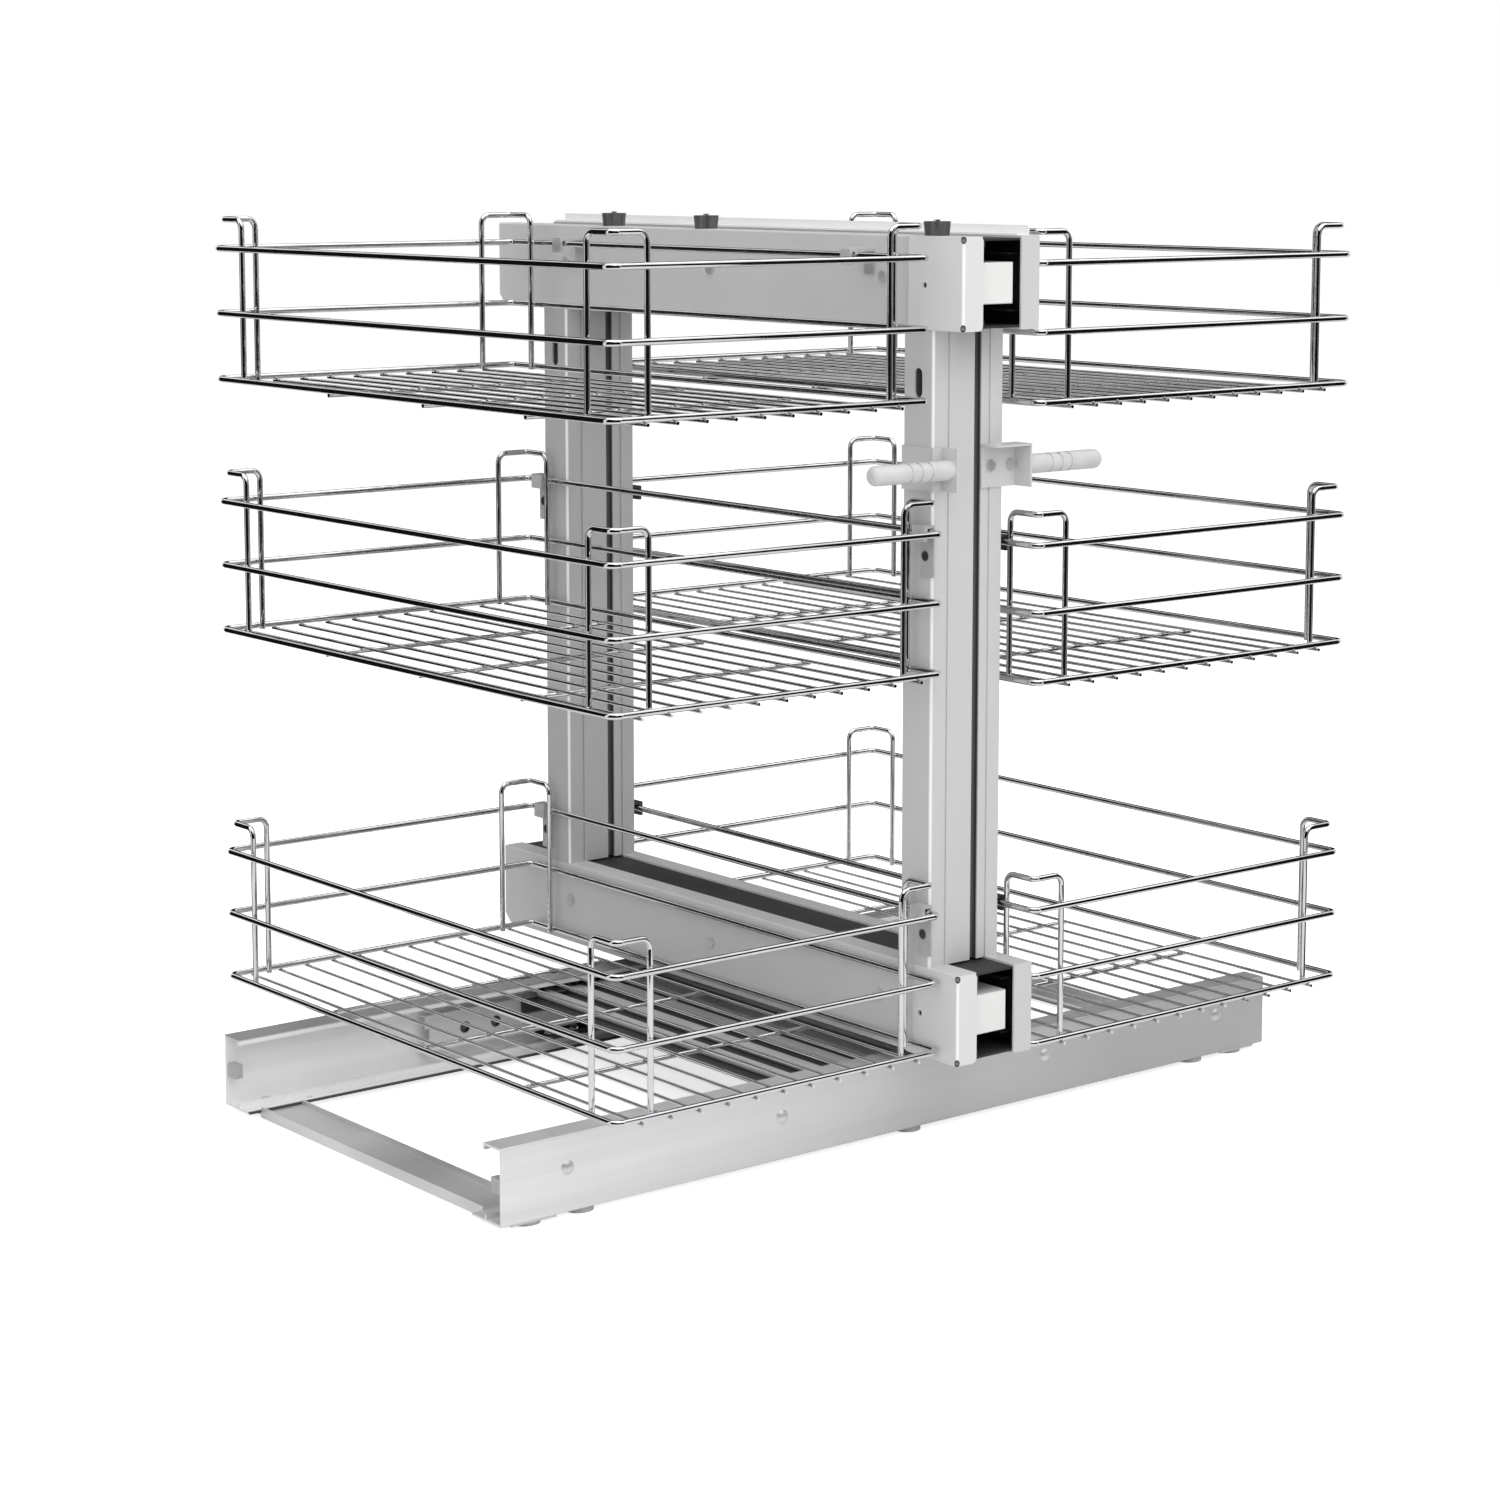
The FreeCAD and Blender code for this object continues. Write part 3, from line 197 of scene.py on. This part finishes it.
# ---- Rail fixings, feet and end stops ------------------------------------------------------------
# Domed zinc-plated rivets through both rails, pale rubber pads under the rails and cross-bars, and
# rubber blocks that stop the runners at the rails' ends.
dress(zinc, "bright_steel", "rail_rivets")
pale_rubber = grained("pale_rubber", ((0.40, 0.40, 0.395), (0.50, 0.50, 0.495)), (0.50, 0.65),
                      (60.0, 60.0, 60.0), 1.6)
dress(pale_rubber, "rubber", "feet", "end_stops")


# ---- Ball runners --------------------------------------------------------------------------------
# Perforated channels of zinc strip that roll on steel balls inside the rails. Moulded cages keep
# the balls apart. Painted shade darkens the strip about each punched hole.
HOLES, HOLE_PITCH, FIRST_HOLE_X, HOLE_Z, HOLE_SHADE = 13, 0.028, -0.1555, 0.026, 0.0052

runner_zinc = zinc.copy()
# Painted shade: a dark ring about each punched hole.
for i in range(HOLES):
    mark(runner_zinc, (FIRST_HOLE_X + HOLE_PITCH * i, 0, HOLE_Z), (1, 0, 1), HOLE_SHADE,
         (0.02, 0.02, 0.02))
bright = grained("bright_zinc_plate", ((0.66, 0.67, 0.69), (0.84, 0.85, 0.86)), (0.16, 0.30),
                 (60.0, 60.0, 60.0), 1.6, metallic=1.0)
dark_plastic = grained("dark_moulding", ((0.030, 0.030, 0.032), (0.060, 0.060, 0.063)), (0.38, 0.55),
                       (50.0, 50.0, 50.0), 1.5)
dress(runner_zinc, "zinc_sheet", "front_runner", "rear_runner")
dress(bright, "bright_steel", "front_balls", "rear_balls")
dress(dark_plastic, "grey_plastic", "front_ball_cage", "rear_ball_cage")


# ---- Deck and risers -----------------------------------------------------------------------------
# A pressed zinc plate between the runners, ribbed front to back, and two angle blocks that carry
# the tower on it. Painted shade darkens the grooves between the ribs.
GROOVE_Z, GROOVE_SHADE = 0.034, 0.0078

deck_zinc = grained("deck_zinc", ((0.66, 0.66, 0.665), (0.88, 0.88, 0.885)), (0.38, 0.52),
                    (30.0, 3.0, 60.0), 2.2, metallic=0.5, relief=0.10)
# Painted shade in the grooves between the ribs.
mark(deck_zinc, (0, 0, GROOVE_Z), (0, 0, 1), GROOVE_SHADE, (0.05, 0.05, 0.052))
dress(deck_zinc, "zinc_sheet", "deck_plate")
dress(zinc, "zinc_sheet", "deck_risers")


# ---- Tower frames --------------------------------------------------------------------------------
# Folded steel beams and tubular posts, powder coated light grey with a fine satin texture. Folded
# covers close the left beams' near ends. The covers take a lighter copy of the coat as painted light,
# and the far posts a darker one as painted shade. The folds have painted highlights, and painted shade
# darkens the gap between posts, the beam behind a cover's hole and the covers' relief holes.
BEAM_FEET, FRAME_LEFT_X, POST_GAP_X = (0.062, 0.563), -0.022, 0.01885
NEAR_FOLD_Y, FAR_FOLD_Y = -0.2116, 0.214
GAP_SHADE, GAP_SPREAD, FOLD_SHINE = 0.0034, 0.35, 0.0018
COVER_X, COVER_Y, COVER_SHINE = -0.0235, -0.2425, 0.0019
COVER_HOLE_Y, COVER_HOLE_RISE, COVER_HOLE_SHADE = -0.204, 0.030, 0.0045
RELIEF_RISES, RELIEF_SHADE = (0.0022, 0.0608), 0.0030

coat = grained("light_grey_coat", ((0.59, 0.59, 0.592), (0.65, 0.65, 0.652)), (0.34, 0.44),
               (5.0, 5.0, 2.0), 2.0)
post_coat = coat.copy()
# The far posts take a darker copy of the coat, as painted shade.
shaded_far_coat = grained("far_post_shaded_coat", ((0.47, 0.47, 0.472), (0.52, 0.52, 0.522)), (0.36, 0.46),
                   (5.0, 5.0, 2.0), 2.0)
# The covers take a lighter copy of the coat, as painted light.
lit_cover_coat = grained("lit_cover_coat", ((0.72, 0.72, 0.722), (0.78, 0.78, 0.782)), (0.28, 0.38),
                     (5.0, 5.0, 5.0), 2.0)
# Painted shade in the gap between the posts and a painted highlight along each post's fold.
for finish, fold_y in ((post_coat, NEAR_FOLD_Y), (shaded_far_coat, FAR_FOLD_Y)):
    mark(finish, (POST_GAP_X, fold_y, 0), (1, GAP_SPREAD, 0), GAP_SHADE, (0.015, 0.015, 0.015))
    mark(finish, (FRAME_LEFT_X, fold_y, 0), (1, 1, 0), FOLD_SHINE, (0.92, 0.92, 0.92))
# Painted highlight along the covers' fold.
mark(lit_cover_coat, (COVER_X, COVER_Y, 0), (1, 1, 0), COVER_SHINE, (0.95, 0.95, 0.95))
# Painted shade on the beams where they show through each cover's hole, and about the covers' relief holes.
for foot in BEAM_FEET:
    mark(coat, (FRAME_LEFT_X, COVER_HOLE_Y, foot + COVER_HOLE_RISE), (1, 1, 1), COVER_HOLE_SHADE,
         (0.01, 0.01, 0.01))
    for rise in RELIEF_RISES:
        mark(lit_cover_coat, (COVER_X, COVER_Y, foot + rise), (1, 1, 1), RELIEF_SHADE, (0.02, 0.02, 0.02))
dress(coat, "grey_paint", "left_lower_beam", "left_upper_beam", "right_lower_beam",
      "right_upper_beam", "left_peg_plate", "right_peg_bracket")
dress(post_coat, "grey_paint", "near_left_post", "near_right_post")
dress(shaded_far_coat, "grey_paint", "far_left_post", "far_right_post")
dress(lit_cover_coat, "grey_paint", "lower_end_cover", "upper_end_cover")


# ---- Telescopic slides ---------------------------------------------------------------------------
# Blackened, lightly oiled channels and a middle member on moulded glides. A white moulded block
# closes the near end of each middle member. The steel is drawn nearly black, partly for its own
# blackening and partly as painted shade in the gaps about the blocks.
# Nearly black: the steel's own blackening and painted shade in the gaps about the blocks.
dark = grained("blackened_steel_and_painted_shade", ((0.015, 0.015, 0.016), (0.035, 0.035, 0.037)), (0.55, 0.75),
               (40.0, 3.0, 40.0), 2.0)
white_moulding = grained("white_moulding", ((0.80, 0.80, 0.79), (0.86, 0.86, 0.85)), (0.36, 0.46),
                         (30.0, 30.0, 30.0), 1.4)
dress(dark, "dark_steel", "lower_slide_channel", "upper_slide_channel", "left_tracks",
      "right_tracks", "lower_slider", "upper_slider")
dress(white_moulding, "white_plastic", "lower_slider_block", "upper_slider_block",
      "lower_glides", "upper_glides")


# ---- Top strip, buffers, screws and pegs ---------------------------------------------------------
# A white angle strip along the right frame, three turned rubber buffers on steel studs, and two
# pale ribbed finger pegs. Low zinc-plated heads stand in rows along the beams' outer faces.
white_coat = grained("white_coat", ((0.88, 0.88, 0.88), (0.92, 0.92, 0.92)), (0.30, 0.40),
                     (6.0, 6.0, 6.0), 1.6)
grey_rubber = grained("grey_rubber", ((0.035, 0.035, 0.036), (0.12, 0.12, 0.122)), (0.40, 0.60),
                      (260.0, 260.0, 8.0), 2.6, relief=0.2)
pale_moulding = grained("pale_moulding", ((0.60, 0.60, 0.595), (0.70, 0.70, 0.695)), (0.32, 0.42),
                        (90.0, 90.0, 90.0), 1.8)
dress(white_coat, "white_paint", "top_strip")
dress(grey_rubber, "rubber", "buffers")
dress(bright, "bright_steel", "buffer_studs")
dress(zinc, "bright_steel", "left_screws", "right_screws")
dress(pale_moulding, "white_plastic", "left_peg", "right_peg")


# ---- Wire baskets --------------------------------------------------------------------------------
# Six baskets of drawn wire, bent, welded and chrome plated: three rims, a doubled upright inside
# each corner, and a floor of thin wires front to back over three cross wires.
TOWER_NEAR, TOWER_FAR, TOWER_LEFT, TOWER_RIGHT = -0.241, 0.304, -0.022, 0.047
POST_CLEARANCE, LEFT_WIDTH, RIGHT_WIDTH = 0.004, 0.2745, 0.314
LEFT_NEAR_SETBACK, LEFT_FAR_SETBACK = 0.0145, 0.043
RIGHT_NEAR_SETBACK, RIGHT_FAR_SETBACK = 0.0035, 0.006
LEFT_LEVELS = (("bottom", 0.070, 0.0), ("middle", 0.332, 0.0), ("top", 0.517, 0.0135))
RIGHT_LEVELS = (("bottom", 0.064), ("middle", 0.319), ("top", 0.512))
RIM_R, UPRIGHT_R, CROSS_R, THIN_R, BEAD_R = 0.00225, 0.0021, 0.0017, 0.0012, 0.0022
RIM_SIDES, UPRIGHT_SIDES, CROSS_SIDES, THIN_SIDES, BEND_STEPS = 14, 14, 12, 10, 7
RIM_CORNER, UPRIGHT_CORNER, UPRIGHT_BEND = 0.006, 0.004, 0.007
RIM_RISES, UPRIGHT_TOP, UPRIGHT_REACH, INSET = (0.0, 0.048, 0.095), 0.116, 0.031, 0.004
THIN_PITCH, THIN_MARGIN, THIN_OVERHANG = 0.0233, 0.018, 0.0012
CROSS_WIRES, CROSS_OVERHANG = 3, 0.006
THIN_DROP, CROSS_BITE, MERGE, EASE, CAP_CORNERS = 0.00002, 0.00035, 0.00001, 0.0003, 5


def draw_on(bm, ring, step):
    """Pull an open ring of edges one step along and return the new ring."""
    grown = bmesh.ops.extrude_edge_only(bm, edges=ring)["geom"]
    bmesh.ops.translate(bm, vec=step, verts=[part for part in grown if isinstance(part, bmesh.types.BMVert)])
    return [part for part in grown if isinstance(part, bmesh.types.BMEdge) and len(part.link_faces) == 1]


def lay_wire(bm, radius, points, bends, sides, closed=False):
    """Draw a ring along straight runs and arcs; a closed wire meets its own start.

    A run begins and ends with a short step, so that its shading isn't tilted by the bend or cap.
    """
    way = (points[1] - points[0]).normalized()
    aim = Matrix.Translation(points[0]) @ way.to_track_quat("Z", "Y").to_matrix().to_4x4()
    ring = bmesh.ops.create_circle(bm, segments=sides, radius=radius, matrix=aim)["verts"]
    first = ring = list({edge for vert in ring for edge in vert.link_edges})
    here = points[0]
    for i in range(1, len(points)):
        way = (points[i] - points[i - 1]).normalized()
        turning = i < len(points) - 1
        stop = points[i]
        if turning:
            after = (points[i + 1] - points[i]).normalized()
            angle, bend = way.angle(after), bends[i - 1]
            stop = points[i] - way * bend * math.tan(angle / 2)
        for step in (way * EASE, stop - here - way * 2 * EASE, way * EASE):
            ring = draw_on(bm, ring, step)
        here = stop
        if turning:
            inward = (after - way * after.dot(way)).normalized()
            pivot = here + inward * bend
            joint = ring + list({vert for edge in ring for vert in edge.verts})
            last = bmesh.ops.spin(bm, geom=joint, cent=pivot, axis=way.cross(after).normalized(),
                                  angle=angle, steps=BEND_STEPS)["geom_last"]
            ring = [part for part in last if isinstance(part, bmesh.types.BMEdge)]
            here = points[i] + after * bend * math.tan(angle / 2)
    if not closed:
        for end in (first, ring):
            bmesh.ops.edgeloop_fill(bm, edges=end)


def weld_bead(bm, place, size):
    """A small melted bead where two wires cross."""
    bmesh.ops.create_icosphere(bm, subdivisions=1, radius=size, matrix=Matrix.Translation(place))


def lay_rims(bm, x0, x1, y0, y1, z):
    """Three closed rims, each started in the middle of its near side."""
    middle = (x0 + x1) / 2
    for rise in RIM_RISES:
        level = z + rise
        corners = [Vector(place) for place in ((middle, y0, level), (x1, y0, level), (x1, y1, level),
                                               (x0, y1, level), (x0, y0, level), (middle, y0, level))]
        lay_wire(bm, RIM_R, corners, [RIM_CORNER] * 4, RIM_SIDES, closed=True)


def lay_uprights(bm, x0, x1, y0, y1, z):
    """A doubled upright inside each corner, welded to the rims."""
    foot, top = z - RIM_R, z + UPRIGHT_TOP
    for x, inward_x in ((x0, 1), (x1, -1)):
        for y, inward_y in ((y0, 1), (y1, -1)):
            corner_x, corner_y = x + inward_x * INSET, y + inward_y * INSET
            leg_x, leg_y = x + inward_x * UPRIGHT_REACH, y + inward_y * UPRIGHT_REACH
            points = [Vector(place) for place in ((corner_x, leg_y, foot), (corner_x, leg_y, top),
                                                  (corner_x, corner_y, top), (leg_x, corner_y, top),
                                                  (leg_x, corner_y, foot))]
            lay_wire(bm, UPRIGHT_R, points, [UPRIGHT_BEND, UPRIGHT_CORNER, UPRIGHT_BEND],
                     UPRIGHT_SIDES)
            for rise in RIM_RISES:
                weld_bead(bm, (x + inward_x * INSET / 2, leg_y, z + rise), BEAD_R)
                weld_bead(bm, (leg_x, y + inward_y * INSET / 2, z + rise), BEAD_R)


def lay_floor(bm, x0, x1, y0, y1, z):
    """Thin wires front to back under the lowest rim, over three cross wires."""
    thin_z = z - RIM_R - THIN_R - THIN_DROP
    cross_z = thin_z - THIN_R - CROSS_R + CROSS_BITE
    count = int((x1 - x0 - 2 * THIN_MARGIN) / THIN_PITCH) + 1
    first = (x0 + x1) / 2 - THIN_PITCH * (count - 1) / 2
    last = first + THIN_PITCH * (count - 1)
    ends = RIM_R + THIN_OVERHANG
    for i in range(count):
        x = first + i * THIN_PITCH
        lay_wire(bm, THIN_R, [Vector((x, y0 - ends, thin_z)), Vector((x, y1 + ends, thin_z))], [],
                 THIN_SIDES)
    for i in range(CROSS_WIRES):
        y = y0 + (y1 - y0) * (i + 1) / (CROSS_WIRES + 1)
        lay_wire(bm, CROSS_R, [Vector((first - CROSS_OVERHANG, y, cross_z)),
                               Vector((last + CROSS_OVERHANG, y, cross_z))], [], CROSS_SIDES)


def wire_basket(name, body, x0, x1, y0, y1, z, material):
    """One welded basket, in place of its two CAD nodes; only the wires' end caps stay flat."""
    bm = bmesh.new()
    for lay in (lay_rims, lay_uprights, lay_floor):
        lay(bm, x0, x1, y0, y1, z)
    bmesh.ops.remove_doubles(bm, verts=bm.verts, dist=MERGE)
    bmesh.ops.recalc_face_normals(bm, faces=bm.faces)
    for face in bm.faces:
        face.smooth = len(face.verts) < CAP_CORNERS
    mesh = bpy.data.meshes.new(name)
    bm.to_mesh(mesh)
    bm.free()
    mesh.materials.append(material)
    piece = bpy.data.objects.new(name, mesh)
    bpy.context.scene.collection.objects.link(piece)
    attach(piece, body)
    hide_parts(name.replace("_wires", ""), name.replace("_wires", "_floor"))


chrome = grained("chrome_plate", ((0.60, 0.605, 0.615), (0.72, 0.725, 0.735)), (0.04, 0.07),
                 (40.0, 40.0, 40.0), 1.2, metallic=1.0)
inner_x = TOWER_LEFT - POST_CLEARANCE
near_y, far_y = TOWER_NEAR + LEFT_NEAR_SETBACK, TOWER_FAR - LEFT_FAR_SETBACK
for level, z, narrower in LEFT_LEVELS:
    wire_basket(f"left_{level}_basket_wires", "left_frame", inner_x - LEFT_WIDTH, inner_x - narrower,
                near_y, far_y, z, chrome)
inner_x = TOWER_RIGHT + POST_CLEARANCE
near_y, far_y = TOWER_NEAR + RIGHT_NEAR_SETBACK, TOWER_FAR - RIGHT_FAR_SETBACK
for level, z in RIGHT_LEVELS:
    wire_basket(f"right_{level}_basket_wires", "carriage", inner_x, inner_x + RIGHT_WIDTH,
                near_y, far_y, z, chrome)


# ---- Basket clips and hangers --------------------------------------------------------------------
# Grey moulded clips hold the two lower left baskets, and dark ones the two lower right baskets.
# Zinc-plated hangers carry the two top baskets. A hole in each left clip is drawn as a spot of painted
# shade.
CLIP_HOLE_YS, CLIP_HOLE_ZS, CLIP_HOLE_SHADE = (-0.206, 0.244), (0.148, 0.410), 0.0042

clip_moulding = grained("clip_moulding", ((0.42, 0.42, 0.415), (0.54, 0.54, 0.535)), (0.32, 0.42),
                        (90.0, 90.0, 90.0), 1.8)
# Painted shade for the hole in each left clip.
for y in CLIP_HOLE_YS:
    for z in CLIP_HOLE_ZS:
        mark(clip_moulding, (0, y, z), (0, 1, 1), CLIP_HOLE_SHADE, (0.02, 0.02, 0.02))
dress(clip_moulding, "white_plastic", "left_clips")
dress(dark_plastic, "grey_plastic", "right_clips")
dress(zinc, "bright_steel", "left_hangers", "right_hangers")


# ---- Floor, light and camera ---------------------------------------------------------------------
# A plain white floor under soft light from above and in front, in white surroundings. Parts of a
# dark ring on the floor and of a dark wall round it show only as reflections, and give the plated
# wire its dark core.
FLOOR_Z, FLOOR_HALF_SIZE, FLOOR_GLOW, MIRRORED_SHARE = -0.0042, 12.0, 0.72, 0.25
SCREEN_Z, SCREEN_STEPS_ROUND, SCREEN_R, OUTER_R = -0.003, 180, 0.6, 0.96
SCREEN_SPREADS = ((1.6, 0.0), (4.0, 0.0), (1.0, 5.0))
VIEW_TURN = 38.6
WHOLE_SECTORS = ((68, 104), (236, 272))
OUTER_SECTORS = ((-1, 58), (150, 206), (302, 361))
LAMPS = (("overhead", (0.2, -0.6, 3.0), 5.0, 85), ("front", (-0.5, -2.4, 1.7), 2.8, 27),
         ("left", (-3.0, -0.8, 1.6), 3.0, 22))
LAMP_TARGET = Vector((0, 0, 0.3))
WORLD_LIGHT, WORLD_WHITE = 0.38, 1.0
CAMERA_PLACE, CAMERA_DIP, CAMERA_TURN = (-1.4910, -1.8575, 0.6835), 7.31, 38.55
LENS, SENSOR, SHIFT_Y, SIGHT = 78.73, 36.0, -0.12, 100.0


def stage_material(name, tint, glow=0.0):
    """A plain matt finish, lifted towards white for the camera and a little in reflections."""
    material = bpy.data.materials.new(name)
    material.use_nodes = True
    nodes, link = material.node_tree.nodes, material.node_tree.links.new
    shader = nodes["Principled BSDF"]
    shader.inputs["Base Color"].default_value = (tint, tint, tint, 1)
    shader.inputs["Roughness"].default_value = 1.0
    shader.inputs["Specular IOR Level"].default_value = 0.0
    if glow:
        seen, mirrored, lift = (nodes.new(f"ShaderNode{kind}") for kind in ("LightPath", "Math", "Math"))
        mirrored.operation, lift.operation = "MULTIPLY", "MULTIPLY_ADD"
        mirrored.inputs[1].default_value = glow * MIRRORED_SHARE
        lift.inputs[1].default_value = glow
        link(seen.outputs["Is Glossy Ray"], mirrored.inputs[0])
        link(seen.outputs["Is Camera Ray"], lift.inputs[0])
        link(mirrored.outputs[0], lift.inputs[2])
        link(lift.outputs[0], shader.inputs["Emission Strength"])
        shader.inputs["Emission Color"].default_value = (1, 1, 1, 1)
    return material


def stage_piece(name, bm, material):
    """Turn a finished bmesh into a piece of the stage."""
    mesh = bpy.data.meshes.new(name)
    bm.to_mesh(mesh)
    bm.free()
    mesh.materials.append(material)
    piece = bpy.data.objects.new(name, mesh)
    bpy.context.scene.collection.objects.link(piece)
    return piece


def within(turn, sectors):
    """Whether a turn lies in one of the sectors."""
    return any(start < turn < stop for start, stop in sectors)


bm = bmesh.new()
bmesh.ops.create_grid(bm, x_segments=1, y_segments=1, size=FLOOR_HALF_SIZE,
                      matrix=Matrix.Translation((0, 0, FLOOR_Z)))
stage_piece("floor", bm, stage_material("floor_white", 0.80, FLOOR_GLOW))

bm = bmesh.new()
ring = bmesh.ops.create_circle(bm, segments=SCREEN_STEPS_ROUND, radius=SCREEN_R,
                               matrix=Matrix.Translation((0, 0, SCREEN_Z)))["verts"]
ring = list({edge for vert in ring for edge in vert.link_edges})
for spread, rise in SCREEN_SPREADS:
    ring = draw_on(bm, ring, (0, 0, rise))
    bmesh.ops.scale(bm, vec=(spread, spread, 1), verts=list({vert for edge in ring for vert in edge.verts}))
for face in list(bm.faces):
    centre = face.calc_center_median()
    turn = (math.degrees(math.atan2(centre.x, -centre.y)) + VIEW_TURN) % 360
    outer = centre.xy.length > OUTER_R
    if not (within(turn, WHOLE_SECTORS) or outer and within(turn, OUTER_SECTORS)):
        bm.faces.remove(face)
screen = stage_piece("dark_screen", bm, stage_material("screen_black", 0.01))
screen.visible_camera = screen.visible_diffuse = False
screen.visible_shadow = screen.visible_transmission = False

for name, place, size, watts in LAMPS:
    lamp = bpy.data.lights.new(name, "AREA")
    lamp.shape, lamp.size, lamp.energy = "SQUARE", size, watts
    light = bpy.data.objects.new(name, lamp)
    light.visible_glossy = name == "overhead"
    aim = (LAMP_TARGET - Vector(place)).to_track_quat("-Z", "Y").to_matrix().to_4x4()
    light.matrix_world = Matrix.Translation(place) @ aim
    bpy.context.scene.collection.objects.link(light)

world = bpy.data.worlds.new("white_surroundings")
bpy.context.scene.world = world
world.use_nodes = True
nodes, link = world.node_tree.nodes, world.node_tree.links.new
background = nodes["Background"]
background.inputs["Color"].default_value = (1, 1, 1, 1)
path = nodes.new("ShaderNodeLightPath")
seen, through = nodes.new("ShaderNodeMath"), nodes.new("ShaderNodeMath")
seen.operation = through.operation = "MAXIMUM"
strength = nodes.new("ShaderNodeMapRange")
strength.inputs["To Min"].default_value = WORLD_LIGHT
strength.inputs["To Max"].default_value = WORLD_WHITE
link(path.outputs["Is Camera Ray"], seen.inputs[0])
link(path.outputs["Is Glossy Ray"], seen.inputs[1])
link(seen.outputs[0], through.inputs[0])
link(path.outputs["Is Transmission Ray"], through.inputs[1])
link(through.outputs[0], strength.inputs["Value"])
link(strength.outputs["Result"], background.inputs["Strength"])

lens = bpy.data.cameras.new("camera")
lens.sensor_width, lens.lens, lens.shift_y, lens.clip_end = SENSOR, LENS, SHIFT_Y, SIGHT
camera = bpy.data.objects.new("camera", lens)
camera.location = CAMERA_PLACE
camera.rotation_euler = (math.radians(90 - CAMERA_DIP), 0, math.radians(-CAMERA_TURN))
bpy.context.scene.collection.objects.link(camera)
bpy.context.scene.camera = camera
bpy.context.scene.view_settings.view_transform = "Standard"
